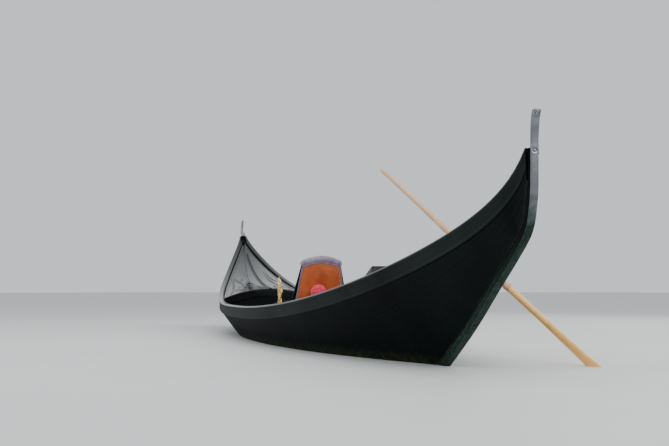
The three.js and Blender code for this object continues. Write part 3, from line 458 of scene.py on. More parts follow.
def grainMaterial(name, dark, light, stretch, rough, coat, boards=0.0):  # boards is a board's width
    material, tree, shader, place = startMaterial(name, {"Coat Weight": coat, "Coat Roughness": 0.12})
    pores = noise(tree, place, 42, 6, 0.65, stretch)
    stretched = output(tree, "ShaderNodeMapping", {"Vector": place, "Scale": stretch})
    waves = {"Vector": stretched, "Scale": 9.0, "Distortion": 7.0, "Detail": 3.0, "Detail Scale": 1.4}
    figure = add(tree, "ShaderNodeTexWave", waves, bands_direction="DIAGONAL").outputs[1]
    colour = ramp(tree, figure, (0.15, dark), (0.85, light))
    colour = blended(tree, spread(tree, pores, 0, 0.6, 0.5, 0.75), colour, tuple(c * 0.45 for c in dark))
    if boards:
        count = maths(tree, "FLOOR", maths(tree, "DIVIDE", part(tree, place, 1), boards))
        tone = output(tree, "ShaderNodeTexWhiteNoise", {"W": count}, noise_dimensions="1D")
        colour = blended(tree, spread(tree, tone, 0, 0.55), colour, tuple(c * 0.35 for c in dark))
    wire(tree, shader, colour, spread(tree, pores, rough, rough + 0.2, 0.35, 0.7), bump(tree, pores, 0.25, 0.0008))
    return material


walnutWood = grainMaterial("walnutWood", (0.034, 0.014, 0.006), (0.115, 0.050, 0.020), (1, 1, 0.12), 0.28, 0.3)
collarWood = grainMaterial("collarWood", (0.50, 0.25, 0.14), (0.72, 0.42, 0.26), (1, 1, 0.2), 0.32, 0.3)
boardWood = grainMaterial("boardWood", (0.020, 0.013, 0.009), (0.052, 0.035, 0.024), (0.07, 1, 1), 0.42, 0.1, 0.118)


def oarMaterial():  # the upper half is bare and handled, the lower half varnished
    material, tree, shader, place = startMaterial("oarWood", {"Coat Weight": 0.25, "Coat Roughness": 0.15})
    along = own(tree, "length")
    lengthwise = maths(tree, "MULTIPLY", along, 2.0)
    flow = output(tree, "ShaderNodeCombineXYZ", {0: lengthwise, 1: own(tree, "round")})
    streaks = noise(tree, flow, 9, 6, 0.6, (0.5, 5, 1))
    bare = ramp(tree, streaks, (0.3, (0.55, 0.32, 0.18)), (0.7, (0.76, 0.49, 0.30)))
    varnished = ramp(tree, streaks, (0.3, (0.96, 0.46, 0.125)), (0.7, (1.0, 0.66, 0.22)))
    below = spread(tree, along, 0, 1, 1.80, 1.86)
    colour = blended(tree, below, bare, varnished)
    soiled = spread(tree, noise(tree, place, 6, 5), 0, 0.18, 0.5, 0.75)
    colour = blended(tree, soiled, colour, (0.26, 0.15, 0.08))
    wire(tree, shader, colour, spread(tree, streaks, 0.30, 0.5, 0.3, 0.7), bump(tree, streaks, 0.15, 0.0008))
    return material


oarWood = oarMaterial()


def leatherMaterial(name, dark, light):
    sockets = {"Coat Weight": 0.08, "Sheen Weight": 0.15, "Sheen Roughness": 0.5}
    material, tree, shader, place = startMaterial(name, sockets)
    cells = output(tree, "ShaderNodeTexVoronoi", {"Vector": place, "Scale": 420.0}, feature="DISTANCE_TO_EDGE")
    tone = noise(tree, place, 5, 5, 0.6)
    colour = ramp(tree, tone, (0.32, dark), (0.68, light))
    rubbed = spread(tree, noise(tree, place, 30, 6, 0.7), 0, 0.3, 0.55, 0.8)
    colour = blended(tree, rubbed, colour, tuple(c * 0.5 for c in dark))
    creases = noise(tree, place, 14, 6, 0.6)
    normal = bump(tree, spread(tree, cells, 0, 1, 0, 0.12), 0.3, 0.0004, bump(tree, creases, 0.2, 0.003))
    wire(tree, shader, colour, spread(tree, tone, 0.36, 0.56, 0.3, 0.7), normal)
    return material


seatLeather = leatherMaterial("seatLeather", (0.42, 0.075, 0.018), (0.66, 0.150, 0.040))
# the cushions' leather is seatLeather's leather painted darker: painted shade where the cushions face up to the
# overhead lamp
squabLeatherPaintedShade = leatherMaterial("squabLeatherPaintedShade", (0.27, 0.038, 0.010), (0.43, 0.074, 0.020))


def wovenMaterial(name, dark, light, threads, sheen, rough):
    material, tree, shader, place = startMaterial(name, {"Sheen Weight": sheen, "Sheen Roughness": 0.4})
    waves = {"Vector": place, "Scale": threads, "Distortion": 0.6, "Detail": 1.0}
    warp, weft = [add(tree, "ShaderNodeTexWave", waves, bands_direction=axis).outputs[1] for axis in ("Y", "Z")]
    cloth = maths(tree, "MAXIMUM", warp, weft)
    tone = noise(tree, place, 16, 5, 0.6)
    colour = ramp(tree, tone, (0.3, dark), (0.7, light))
    colour = blended(tree, spread(tree, cloth, 0.35, 0.0), colour, (0.05, 0.045, 0.06))
    wire(tree, shader, colour, spread(tree, tone, rough - 0.15, rough + 0.1), bump(tree, cloth, 0.35, 0.0006))
    return material


crestFabric = wovenMaterial("crestFabric", (0.21, 0.155, 0.22), (0.39, 0.315, 0.40), 160.0, 0.4, 0.45)
pipingFabric = wovenMaterial("pipingFabric", (0.17, 0.13, 0.26), (0.30, 0.25, 0.40), 220.0, 0.4, 0.5)


def woolMaterial():
    sockets = {"Sheen Weight": 1.0, "Sheen Roughness": 0.3, "Sheen Tint": (1.0, 0.45, 0.55, 1)}
    material, tree, shader, place = startMaterial("redWool", sockets)
    tone = noise(tree, place, 60, 4, 0.6)
    fibres = noise(tree, place, 900, 2)
    colour = ramp(tree, tone, (0.3, (1.0, 0.080, 0.175)), (0.7, (1.0, 0.210, 0.350)))
    wire(tree, shader, colour, spread(tree, fibres, 0.75, 0.95), bump(tree, fibres, 0.4, 0.0008))
    return material


redWool = woolMaterial()


def carpetMaterial():
    material, tree, shader, place = startMaterial("carpetCloth", {"Sheen Weight": 0.4, "Sheen Roughness": 0.6})
    pile = noise(tree, place, 340, 3, 0.7)
    worn = noise(tree, place, 8, 5, 0.6)
    field = ramp(tree, worn, (0.3, (0.10, 0.008, 0.008)), (0.7, (0.24, 0.026, 0.020)))
    plain, stripe = (0, 0, 0), (1, 1, 1)
    stops = [(0.0, plain), (0.10, stripe), (0.16, plain), (0.26, stripe), (0.29, plain)]
    bands = ramp(tree, own(tree, "edge"), *stops, shape="CONSTANT")
    colour = blended(tree, bands, field, (0.30, 0.17, 0.06))
    colour = blended(tree, spread(tree, pile, 0, 0.5, 0.4, 0.8), colour, (0.02, 0.004, 0.004))
    wire(tree, shader, colour, spread(tree, pile, 0.8, 0.98), bump(tree, pile, 0.6, 0.002))
    return material


carpetCloth = carpetMaterial()
print("materials made")


# Geometry Nodes: a bead drawn along lines, and small forms repeated along lines
def startTree(name, **inputs):  # each also takes a geometry and a material
    tree = bpy.data.node_groups.new(name, "GeometryNodeTree")
    tree.interface.new_socket("Geometry", in_out="INPUT", socket_type="NodeSocketGeometry")
    for label, kind in dict(inputs, Material="Material").items():
        tree.interface.new_socket(label, in_out="INPUT", socket_type="NodeSocket" + kind)
    tree.interface.new_socket("Geometry", in_out="OUTPUT", socket_type="NodeSocketGeometry")
    return tree, tree.nodes.new("NodeGroupInput").outputs


def endTree(tree, geometry, material):
    real = output(tree, "GeometryNodeRealizeInstances", {0: geometry})
    smooth = output(tree, "GeometryNodeSetShadeSmooth", {0: real})
    coloured = output(tree, "GeometryNodeSetMaterial", {0: smooth, "Material": material})
    add(tree, "NodeGroupOutput", {0: coloured})
    return tree


def mouldingTree():
    tree, given = startTree("moulding", Radius="Float", Taper="Float", Sides="Int")
    line = output(tree, "GeometryNodeMeshToCurve", {0: given["Geometry"]})
    place = output(tree, "GeometryNodeSplineParameter")
    nearEnd = maths(tree, "MINIMUM", place, maths(tree, "SUBTRACT", 1.0, place))
    slim = spread(tree, nearEnd, 0.12, 1.0, 0.0, 0.12)
    size = output(tree, "ShaderNodeMix", {0: given["Taper"], 2: 1.0, 3: slim})
    section = {"Resolution": given["Sides"], "Radius": given["Radius"]}
    circle = output(tree, "GeometryNodeCurvePrimitiveCircle", section)
    solid = output(tree, "GeometryNodeCurveToMesh", {0: line, 1: circle, "Scale": size, "Fill Caps": True})
    return endTree(tree, solid, given["Material"])


def beadTree():
    tree, given = startTree("beads", Pitch="Float", Size="Vector", Slant="Float")
    line = output(tree, "GeometryNodeMeshToCurve", {0: given["Geometry"]})
    spaced = output(tree, "GeometryNodeResampleCurve", {0: line, "Length": given["Pitch"]}, mode="LENGTH")
    ball = output(tree, "GeometryNodeMeshIcoSphere", {"Radius": 1.0, "Subdivisions": 2})
    shaped = output(tree, "GeometryNodeTransform", {0: ball, "Scale": given["Size"]})
    tangent = output(tree, "GeometryNodeInputTangent")
    facing = output(tree, "FunctionNodeAlignRotationToVector", {"Vector": tangent}, axis="X")
    turn = output(tree, "FunctionNodeAxisAngleToRotation", {"Axis": (0, 0, 1), "Angle": given["Slant"]})
    turned = output(tree, "FunctionNodeRotateRotation", {0: facing, 1: turn}, rotation_space="LOCAL")
    copies = {"Points": spaced, "Instance": shaped, "Rotation": turned}
    return endTree(tree, output(tree, "GeometryNodeInstanceOnPoints", copies), given["Material"])


tuft = {"sides": 5, "tip": 0.0012, "root": 0.0034, "lean": 0.5, "spin": 3.1}


def tuftTree():
    tree, given = startTree("tufts", Density="Float", Length="Float", Seed="Int")
    scatter = {"Mesh": given["Geometry"], "Density": given["Density"], "Seed": given["Seed"]}
    spots = add(tree, "GeometryNodeDistributePointsOnFaces", scatter)
    cone = {"Vertices": tuft["sides"], "Radius Top": tuft["tip"], "Radius Bottom": tuft["root"],
            "Depth": given["Length"]}
    strand = output(tree, "GeometryNodeMeshCone", cone)
    most = Vector((tuft["lean"], tuft["lean"], tuft["spin"]))
    limits = {0: -most, 1: most, "Seed": given["Seed"]}
    tilt = output(tree, "FunctionNodeRandomValue", limits, data_type="FLOAT_VECTOR")
    turn = output(tree, "FunctionNodeEulerToRotation", {0: tilt})
    turns = {0: spots.outputs["Rotation"], 1: turn}
    turned = output(tree, "FunctionNodeRotateRotation", turns, rotation_space="LOCAL")
    copies = {"Points": spots.outputs[0], "Instance": strand, "Rotation": turned}
    both = add(tree, "GeometryNodeJoinGeometry")
    tree.links.new(output(tree, "GeometryNodeInstanceOnPoints", copies), both.inputs[0])
    tree.links.new(given["Geometry"], both.inputs[0])
    return endTree(tree, both.outputs[0], given["Material"])


trees = {"moulding": mouldingTree(), "beads": beadTree(), "tufts": tuftTree()}


def runTree(name, treeName, source, values):  # source is a list of lines, or a mesh
    mesh = source
    if isinstance(source, list):
        mesh = bpy.data.meshes.new(name)
        verts = [tuple(p) for line in source for p in line]
        edges, start = [], 0
        for line in source:
            edges += [(start + i, start + i + 1) for i in range(len(line) - 1)]
            start += len(line)
        mesh.from_pydata(verts, edges, [])
    piece = newPiece(name, mesh)
    tree = trees[treeName]
    sockets = {s.name: s.identifier for s in tree.interface.items_tree if s.in_out == "INPUT"}
    modifier = piece.modifiers.new(treeName, "NODES")
    modifier.node_group = tree
    for label, value in values.items():
        modifier[sockets[label]] = value
    baked(piece)
    setShade(piece.data, 50)
    return piece


def moulding(name, lines, radius, material, taper=0.0, sides=8):
    values = {"Radius": radius, "Taper": taper, "Sides": sides, "Material": material}
    return runTree(name, "moulding", lines, values)


def beads(name, lines, pitch, size, material, slant=0.0):
    return runTree(name, "beads", lines, {"Pitch": pitch, "Size": size, "Slant": slant, "Material": material})


# Hull lines, the same curves as the frame's
hull = {
    "sternX": -5.53, "bowX": 5.19, "aftLength": 5.6, "foreLength": 5.25, "halfBeam": 0.737, "lopsided": 0.18,
    "bottomHalf": 0.45, "lowSheerX": 0.4, "lowSheer": 0.34, "sternSheer": 1.214, "hookRise": 0.258,
    "hookReach": 0.283, "bowSheer": 1.29, "bulge": (0.3153, 0.1331),
    "plank": 0.02, "gap": 0.0003, "postHalf": 0.016, "strake": 0.105, "strakeShare": 0.8, "strakeLean": 0.09,
    "tipHalf": 0.0385, "capIn": 0.048, "capTop": 0.024, "deckDrop": 0.010, "camber": 0.22, "deckThick": 0.018,
    "deckGap": 0.0048, "spacing": 0.065, "aftEnd": -3.6, "foreEnd": 3.416,
}
sternBottom = bezier([(0, -0.26), (-1.5, -0.26), (-3.25, -0.264), (-3.6, -0.11)], 60)
sternProfile = [(-3.6, -0.11), (-3.85, 0), (-4.15, 0.15), (-4.512, 0.345), (-4.86, 0.56), (-5.205, 0.768),
                (-5.44, 0.93), (-5.51, 1.08), (-5.53, 1.2)]
sternLine = throughPoints(sternProfile, 8)
bowBottom = bezier([(0, -0.26), (1.5, -0.26), (2.986, -0.201), (3.416, -0.082)], 60)
stemLine = bezier([(3.416, -0.082), (4.114, 0.111), (5.075, 0.428), (5.19, 1.13)], 60)
keelLine = sternLine[::-1] + sternBottom[::-1][1:] + bowBottom[1:] + stemLine[1:]
keelXs, keelZs = [p.x for p in keelLine], [p.y for p in keelLine]


def keelAt(x):
    return float(np.interp(x, keelXs, keelZs))


def sheerAt(x):
    if x < hull["lowSheerX"]:
        u = (hull["lowSheerX"] - x) / (hull["lowSheerX"] + hull["aftLength"])
        hook = hull["hookRise"] * math.exp(-(x + hull["aftLength"]) / hull["hookReach"])
        return hull["lowSheer"] + (hull["sternSheer"] - hull["lowSheer"]) * u ** 2.5 + hook
    u = (x - hull["lowSheerX"]) / (hull["foreLength"] - hull["lowSheerX"])
    return hull["lowSheer"] + (hull["bowSheer"] - hull["lowSheer"]) * u ** 3.14


def sheerHalf(x, side):
    u = clamp01(-x / hull["aftLength"] if x < 0 else x / hull["foreLength"])
    mean = hull["halfBeam"] * ((1 - u ** 1.9) ** 1.15 if x < 0 else (1 - u ** 2.5) ** 1.05)
    return math.hypot(mean * (1 + hull["lopsided"] * side), hull["tipHalf"])


def chineHalf(x, side):
    u = clamp01(x / hull["aftEnd"] if x < 0 else x / hull["foreEnd"])
    flat = hull["bottomHalf"] * (1 - u ** 2.2) ** 1.1 * (1 + hull["lopsided"] * side)
    return math.hypot(flat, hull["postHalf"] + 2 * hull["gap"] + hull["plank"])


def sideEnds(x, side):  # chine, knuckle and top of the planking's outer face
    drop = min(hull["strake"], hull["strakeShare"] * (sheerAt(x) - keelAt(x)))
    low = (chineHalf(x, side), keelAt(x) + hull["plank"] + hull["gap"])
    top = (sheerHalf(x, side), sheerAt(x))
    return low, (max(top[0] - drop * hull["strakeLean"], low[0]), top[1] - drop), top


def sideAt(x, side, t):  # t runs from chine 0 to knuckle 1
    low, knuckle, _ = sideEnds(x, side)
    full, fading = hull["bulge"]
    bulge = (knuckle[0] - low[0]) * t * (1 - t) * (full - fading * t)
    return mix(low[0], knuckle[0], t) + bulge, mix(low[1], knuckle[1], t)


def halfAt(x, side, z, inside=0.0):  # half-width of the planking at a height
    low, knuckle, top = sideEnds(x, side)
    if z >= knuckle[1]:
        return mix(knuckle[0], top[0], clamp01((z - knuckle[1]) / (top[1] - knuckle[1]))) - inside
    return sideAt(x, side, clamp01((z - low[1]) / max(knuckle[1] - low[1], 1e-6)))[0] - inside


def stations(a, b, spacing=hull["spacing"]):
    count = max(2, round((b - a) / spacing))
    return [mix(a, b, i / count) for i in range(count + 1)]


def deckHalf(x):
    return (sheerHalf(x, 1) + sheerHalf(x, -1)) / 2 - hull["plank"] - hull["deckGap"]


def deckCentre(x):
    return (sheerHalf(x, 1) - sheerHalf(x, -1)) / 2


def deckPoint(x, r, lift=0.0):  # r runs from -1 at the starboard edge to 1 at the port edge
    half = deckHalf(x)
    z = sheerAt(x) - hull["deckDrop"] + hull["camber"] * half * (1 - r * r) + lift
    return Vector((x, deckCentre(x) + r * half, z))


# Planking, bottom, posts
sides = {1: "port", -1: "starboard"}
lengths = ["aft", "mid_aft", "mid_fore", "fore"]
outerSteps = 14
insideMark = 0.125  # midway between two seams, so the inner face shows none
for side, label in sides.items():
    rings = []
    for x in stations(hull["sternX"], hull["bowX"]):
        outer = [sideAt(x, side, t / outerSteps) for t in range(outerSteps + 1)] + [sideEnds(x, side)[2]]
        inner = [(y - hull["plank"], z) for y, z in outer][::-1]
        rings.append([Vector((x, y * side, z)) for y, z in outer + inner])
    planking = loft(f"{label}_planking", rings, [hullPaint, insidePaint],
                    lambda i, j: int(j > outerSteps + 1), 50)
    across = [min(j, outerSteps) / outerSteps if j <= outerSteps + 1 else insideMark
              for j in range(len(rings[0]))]
    marked(planking, "plank", across * len(rings))
    settle(planking, "black_lacquer", *[f"side_{label}_{length}" for length in lengths])

bottomRings = []
for x in stations(hull["aftEnd"], hull["foreEnd"]):
    port, starboard, z = chineHalf(x, 1), chineHalf(x, -1), keelAt(x)
    corners = [(port, z), (port, z + hull["plank"]), (-starboard, z + hull["plank"]), (-starboard, z)]
    bottomRings.append([Vector((x, *p)) for p in roundCorners(corners, 0.005, 2)])
bottomBoards = loft("bottom_boards", bottomRings, [hullPaint], sharp=50)
marked(bottomBoards, "plank", [v.co.y * 2.2 + 0.06 for v in bottomBoards.data.vertices])
settle(bottomBoards, "black_lacquer", "bottom_aft", "bottom_mid", "bottom_fore")

post = {"proud": 0.03, "depth": 0.06, "facing": 0.028, "seam": 0.003, "soft": 0.004, "step": 0.014}


# A core between the plank ends and a wider facing outside them
def postPiece(name, line, topZ, outward, material):
    rings = []
    last = len(line) - 1
    for i, p in enumerate(line + [Vector((line[-1].x, topZ))]):
        tangent = (line[min(i + 1, last)] - line[min(max(i - 1, 0), last - 1)]).normalized()
        normal = Vector((tangent.y, -tangent.x)) * outward
        lapped = max(0.0, (hull["plank"] + hull["gap"]) * abs(tangent.x) - post["seam"])
        if i == 0:
            normal = Vector((0, -1))
        if i == len(line):
            normal = Vector((normal.x, 0))
        outer, facing, inner = (p + normal * off for off in (post["proud"], -lapped, -post["depth"]))
        if i >= len(line):
            outer.y = facing.y = topZ
            inner.y = topZ - post["step"]
        back, half, wide, soft = (inner - outer).normalized(), hull["postHalf"], post["facing"], post["soft"]
        pairs = [(inner, half), (facing, half), (facing, wide - soft * 0.5), (facing - back * soft * 0.5, wide),
                 (outer + back * soft, wide), (outer + back * soft * 0.3, wide - soft * 0.3), (outer, wide - soft)]
        section = pairs + [(q, -y) for q, y in pairs[::-1]]
        rings.append([Vector((q.x, y, q.y)) for q, y in section])
    return loft(name, rings, [material], sharp=30)


sternTop, bowTop = sheerAt(hull["sternX"]) + hull["capTop"], sheerAt(hull["bowX"]) + hull["capTop"]
settle(postPiece("stern_post_fairing", sternLine[::2], sternTop, -1, sternPostPaint), "black_lacquer", "sternpost")
settle(postPiece("stem_fairing", stemLine[::2], bowTop, 1, stemPaint), "black_lacquer", "stem")
print("planking and posts made")

# Rails: sheer strake with two beads and a groove, cap on top; inwales along the well
rail = {"beadOut": 0.015, "tipOut": 0.007, "taper": 0.45, "soft": 0.006, "postGap": 0.0013,
        "inwaleDepth": 0.045, "inwaleThick": 0.046, "inwaleRise": 0.002, "inwaleIn": 0.0208}
well = {"aft": -1.804, "fore": 2.354}
capFaces = range(8 * 3, 11 * 3 + 2)  # roundCorners makes three points of each corner, so these span corners 8 to 11
for side, label in sides.items():
    rings = []
    for x in stations(hull["sternX"], hull["bowX"]):
        _, (yk, zk), (ys, zs) = sideEnds(x, side)
        inboard = max(ys - hull["capIn"], hull["postHalf"] + rail["postGap"])
        toEnd = min(x - hull["sternX"], hull["bowX"] - x)
        out = mix(rail["tipOut"], rail["beadOut"], clamp01(toEnd / rail["taper"]))
        band = out * 0.6
        corners = [
            (yk + 0.0005, zk), (yk + out - 0.004, zk + 0.001), (yk + out, zk + 0.009),
            (yk + out - 0.002, zk + 0.017),
            (mix(yk, ys, 0.2) + band, zk + 0.021), (mix(yk, ys, 0.8) + band, zs - 0.021),
            (mix(yk, ys, 0.84) + out - 0.002, zs - 0.017), (ys + out, zs - 0.008), (ys + out, zs + 0.014),
            (ys + 0.008, zs + hull["capTop"]), (min(inboard + 0.006, ys), zs + hull["capTop"]),
            (inboard, zs + hull["capTop"] - 0.008), (inboard, zs + 0.0005), (ys + 0.0005, zs + 0.0005),
        ]
        rings.append([Vector((x, y * side, z)) for y, z in roundCorners(corners, rail["soft"], 2)])
    sheerRail = loft(f"{label}_sheer_rail", rings, [trimLacquer, deckLacquer],
                     lambda i, j: int(j in capFaces), 42)
    settle(sheerRail, "black_lacquer", f"rail_{label}")
    rings = []
    for x in stations(well["aft"], well["fore"]):
        foot, head = sheerAt(x) - rail["inwaleDepth"], sheerAt(x) + rail["inwaleRise"]
        top, low = [halfAt(x, side, z, rail["inwaleIn"]) for z in (sheerAt(x), foot)]
        inner = top - rail["inwaleThick"]
        corners = [(top, head), (inner, head), (inner, foot), (low, foot)]
        rings.append([Vector((x, y * side, z)) for y, z in roundCorners(corners, 0.008, 3)])
    settle(loft(f"{label}_inwale", rings, [trimLacquer], sharp=42), "black_lacquer")

# Decks with their crown, edge mouldings, carved fillets and rope ridge
decks = {
    "stern": {"aft": -5.44, "fore": -1.85, "ridge": (-5.02, -1.85), "wellEnd": -1.85, "tip": -5.30},
    "bow": {"aft": 2.40, "fore": 5.08, "ridge": (2.40, 4.66), "wellEnd": 2.40, "tip": 4.90},
}
carving = {"radius": 0.0060, "gap": 0.030, "lines": 3, "nearer": 0.75, "later": 0.05,
           "edges": (0.058, 0.074), "edgeRadius": 0.0035, "endIn": 0.012, "endRadius": 0.010}
ridgeShape = [(-0.019, 0), (-0.019, 0.009), (-0.010, 0.013), (0.010, 0.013), (0.019, 0.009), (0.019, 0)]
rope = {"pitch": 0.021, "size": (0.016, 0.0052, 0.0085), "slant": 0.62, "lift": 0.0115}
# place along the deck from the well, place across from the ridge to the rail
leafLines = {
    "outer": [(0.010, 0.875), (0.07, 0.83), (0.16, 0.78), (0.27, 0.75), (0.40, 0.76), (0.52, 0.80),
              (0.575, 0.845), (0.50, 0.735), (0.42, 0.62), (0.345, 0.535), (0.285, 0.50), (0.245, 0.535),
              (0.250, 0.600), (0.275, 0.640)],
    "inner": [(0.010, 0.205), (0.08, 0.190), (0.16, 0.200), (0.235, 0.255), (0.275, 0.335), (0.262, 0.410),
              (0.225, 0.440), (0.195, 0.405), (0.215, 0.365)],
    "spur": [(0.30, 0.36), (0.37, 0.31), (0.46, 0.30), (0.56, 0.36), (0.64, 0.46), (0.55, 0.43), (0.46, 0.44),
             (0.40, 0.49)],
    "cusp": [(0.02, 0.66), (0.08, 0.61), (0.14, 0.60), (0.19, 0.64), (0.17, 0.70), (0.12, 0.70)],
}
for label, deck in decks.items():
    rings = []
    for x in stations(deck["aft"], deck["fore"], 0.05):
        top = [deckPoint(x, -1 + 2 * i / 30) for i in range(31)]
        under = [p - Vector((0, 0, hull["deckThick"])) for p in top][::-1]
        rings.append(top + under)
    settle(loft(f"{label}_deck_crown", rings, [deckLacquer], sharp=45), "black_lacquer", f"{label}_deck")

    wellEnd = deck["wellEnd"]
    span = deck["tip"] - wellEnd
    leaves, fine = [], []
    for side in (-1, 1):
        for key, points in leafLines.items():
            smoothLine = throughPoints(points, 6)
            towards = -carving["nearer"] if key in ("outer", "cusp") else carving["nearer"]
            for k in range(carving["lines"]):
                shift = carving["gap"] * k
                later, nearer = shift * carving["later"], shift * towards
                leaves.append([deckPoint(wellEnd + span * (u + later), side * (r + nearer)) for u, r in smoothLine])
        for inset in carving["edges"]:
            edge = stations(min(wellEnd, deck["tip"]), max(wellEnd, deck["tip"]), 0.06)
            fine.append([deckPoint(x, side * max(0.2, 1 - inset / deckHalf(x))) for x in edge])
    ribbons = moulding(f"{label}_deck_carving", leaves, carving["radius"], deckLacquer, taper=1.0)
    settle(ribbons, "black_lacquer")
    edging = moulding(f"{label}_deck_beading", fine, carving["edgeRadius"], deckLacquer, sides=6)
    settle(edging, "black_lacquer")
    endX = wellEnd + math.copysign(carving["endIn"], span)
    endBead = [deckPoint(endX, r / 20, 0.001) for r in range(-19, 20)]
    settle(moulding(f"{label}_deck_end_bead", [endBead], carving["endRadius"], deckLacquer), "black_lacquer")

    ridgeXs = stations(*deck["ridge"], 0.05)
    rings = []
    for x in ridgeXs:
        base = deckPoint(x, 0, -0.004)
        rings.append([base + Vector((0, y, z)) for y, z in roundCorners(ridgeShape, 0.003, 2)])
    ridge = loft(f"{label}_ridge_base", rings, [deckLacquer])
    middle = [deckPoint(x, 0, rope["lift"]) for x in ridgeXs]
    strands = beads(f"{label}_ridge_rope", [middle], rope["pitch"], rope["size"], deckLacquer, rope["slant"])
    edges = [[deckPoint(x, 0, 0.005) + Vector((0, s * 0.0185, 0)) for x in ridgeXs] for s in (-1, 1)]
    trim = moulding(f"{label}_ridge_trim", edges, 0.0042, deckLacquer)
    settle(joined(f"{label}_rope_ridge", [ridge, strands, trim]), "black_lacquer", f"{label}_deck_ridge")
print("rails and decks made")

# Well: ribs, bulkheads, floorboards
settle(dressed("ribs", "rib_frames", insidePaint, 0.004), "inside_paint", "ribs")
panel = {"face": {"stern": -0.0345, "bow": 0.0155}, "insets": (0.0, 0.022), "middle": 0.05, "side": 0.09,
         "flare": 0.05, "foot": -0.09, "head": 0.135, "corner": 0.05, "radius": 0.006}
for label, deck in decks.items():
    settle(dressed(f"{label}_bulkhead", f"{label}_well_panel", trimLacquer), "inside_paint", f"{label}_bulkhead")
    x = deck["wellEnd"] + panel["face"][label]
    frames = []
    for side in (-1, 1):
        for inset in panel["insets"]:
            y0, y1 = panel["middle"] + inset, halfAt(x, side, -0.05, 0.02) - panel["side"] - inset
            z0, z1 = panel["foot"] + inset, sheerAt(x) - panel["head"] - inset
            box = [(y0, z0), (y1, z0), (y1 + panel["flare"], z1), (y0, z1)]
            loop = roundCorners(box, panel["corner"], 5)
            frames.append([Vector((x, side * p.x, p.y)) for p in loop + loop[:1]])
    settle(moulding(f"{label}_panel_beading", frames, panel["radius"], trimLacquer), "black_lacquer")

boards = {"width": 0.118, "gap": 0.005, "top": -0.128, "thick": 0.020, "ease": 0.003, "sideGap": 0.0658,
          "least": 0.02}
floors = {"floorboards_aft": (-1.774, -0.560), "floorboards_main": (-0.557, 2.324)}
for nodeName, (x0, x1) in floors.items():
    planks = []
    for k in range(-8, 9):
        low, high = k * boards["width"] + boards["gap"] / 2, (k + 1) * boards["width"] - boards["gap"] / 2
        top, under = boards["top"], boards["top"] - boards["thick"]
        rings = []
        for x in stations(x0, x1, 0.09):
            port, starboard = [halfAt(x, side, under, boards["sideGap"]) for side in (1, -1)]
            a, b = max(low, -starboard), min(high, port)
            if b - a > boards["least"]:
                corners = [(a, under), (a, top), (b, top), (b, under)]
                rings.append([Vector((x, *p)) for p in roundCorners(corners, boards["ease"], 1)])
        if len(rings) > 2:
            planks.append(loft(f"plank_{len(planks)}", rings, [boardWood], sharp=50))
    settle(joined(f"{nodeName}_planks", planks), "floor_wood", nodeName)
print("well made")

# Irons
strapShape = {"thick": 0.010, "sternWidth": 0.052, "stemWidth": 0.040, "off": 0.0358, "corner": 0.003,
              "flareFrom": 0.85, "sternFlare": 1.12, "boltsAt": (4, 13, 24, 35, 46, 55), "headBoltsAt": (66, -3),
              "bolt": 0.0045, "headBolt": 0.0125}


def normalAt(line, i, outward=1):  # unit normal of a line of 2-D points
    tangent = (line[min(i + 1, len(line) - 1)] - line[max(i - 1, 0)]).normalized()
    return Vector((tangent.y, -tangent.x)) * outward


def strapPiece(name, line, width, material, flare=1.0):  # flare is the tip's width as a share
    rings = []
    deep, start = strapShape["thick"] / 2, strapShape["flareFrom"]
    for i, p in enumerate(line):
        unit = normalAt(line, i)
        half = width / 2 * mix(1.0, flare, clamp01((i / (len(line) - 1) - start) / (1 - start)))
        corners = [(-deep, -half), (-deep, half), (deep, half), (deep, -half)]
        section = roundCorners(corners, strapShape["corner"], 2)
        rings.append([Vector((p.x + unit.x * c.x, c.y, p.y + unit.y * c.x)) for c in section])
    return loft(name, rings, [material], sharp=40)


def offsetLine(line, outward, distance):
    return [p + normalAt(line, i, outward) * distance for i, p in enumerate(line)]


# Pairs of radius and height revolved about an axis
def turned(name, profile, foot, axis, materials, around=20, kindOf=None):
    place = Matrix.Translation(foot) @ Vector(axis).to_track_quat("Z", "Y").to_matrix().to_4x4()
    rings = [[place @ Vector((r * math.cos(a), r * math.sin(a), h)) for a in circleAngles(around)]
             for r, h in profile]
    return loft(name, rings, materials, kindOf, sharp=50)


# Radius and height as shares of the bolt's radius: a washer, then a domed head that stands in a dark groove
washer = [(2.1, 0), (2.1, 0.26), (1.98, 0.42), (1.6, 0.42), (1.48, 0.20), (1.0, 0.14)]
dome = [(math.cos(k * math.pi / 12), 0.16 + 0.55 * math.sin(k * math.pi / 12)) for k in range(6)]
grooveRings = (3, 4)
poleRadius = 0.0004  # a round form's end isn't drawn to a point


def bolt(name, line, i, outward, radius, material):
    unit = normalAt(line, i, outward)
    face = line[i] + unit * strapShape["thick"] * 0.45
    profile = [(radius * r, radius * h) for r, h in washer + dome] + [(poleRadius, radius * 0.72)]
    return turned(name, profile, (face.x, 0, face.y), (unit.x, 0, unit.y), [material, trimLacquer],
                  kindOf=lambda i, j: int(i in grooveRings))


strapX = hull["sternX"] - strapShape["off"]
curl = [(-0.003, -0.04), (-0.003, 0.08), (-0.008, 0.17), (-0.044, 0.222)]
sternRun = offsetLine(sternLine, -1, strapShape["off"])
sternRun += bezier([(strapX + x, sternTop + z) for x, z in curl], 16)
flare = strapShape["sternFlare"]
sternParts = [strapPiece("stern_strap", sternRun, strapShape["sternWidth"], sternSteel, flare)]
for i in strapShape["boltsAt"]:
    sternParts.append(bolt("stern_bolt", sternRun, i, -1, strapShape["bolt"], sternSteel))
for i in strapShape["headBoltsAt"]:
    sternParts.append(bolt("head_bolt", sternRun, i % len(sternRun), -1, strapShape["headBolt"], boltSteel))
halfRoll = [(0.0115, 0.0165), (0.009, 0.0190), (poleRadius, 0.0195)]
roll = [(r, -h) for r, h in halfRoll[::-1]] + halfRoll
rollFoot = (sternRun[-1].x - 0.003, 0, sternRun[-1].y - 0.004)
sternParts.append(turned("stern_roll", roll, rollFoot, (0, 1, 0), [boltSteel]))
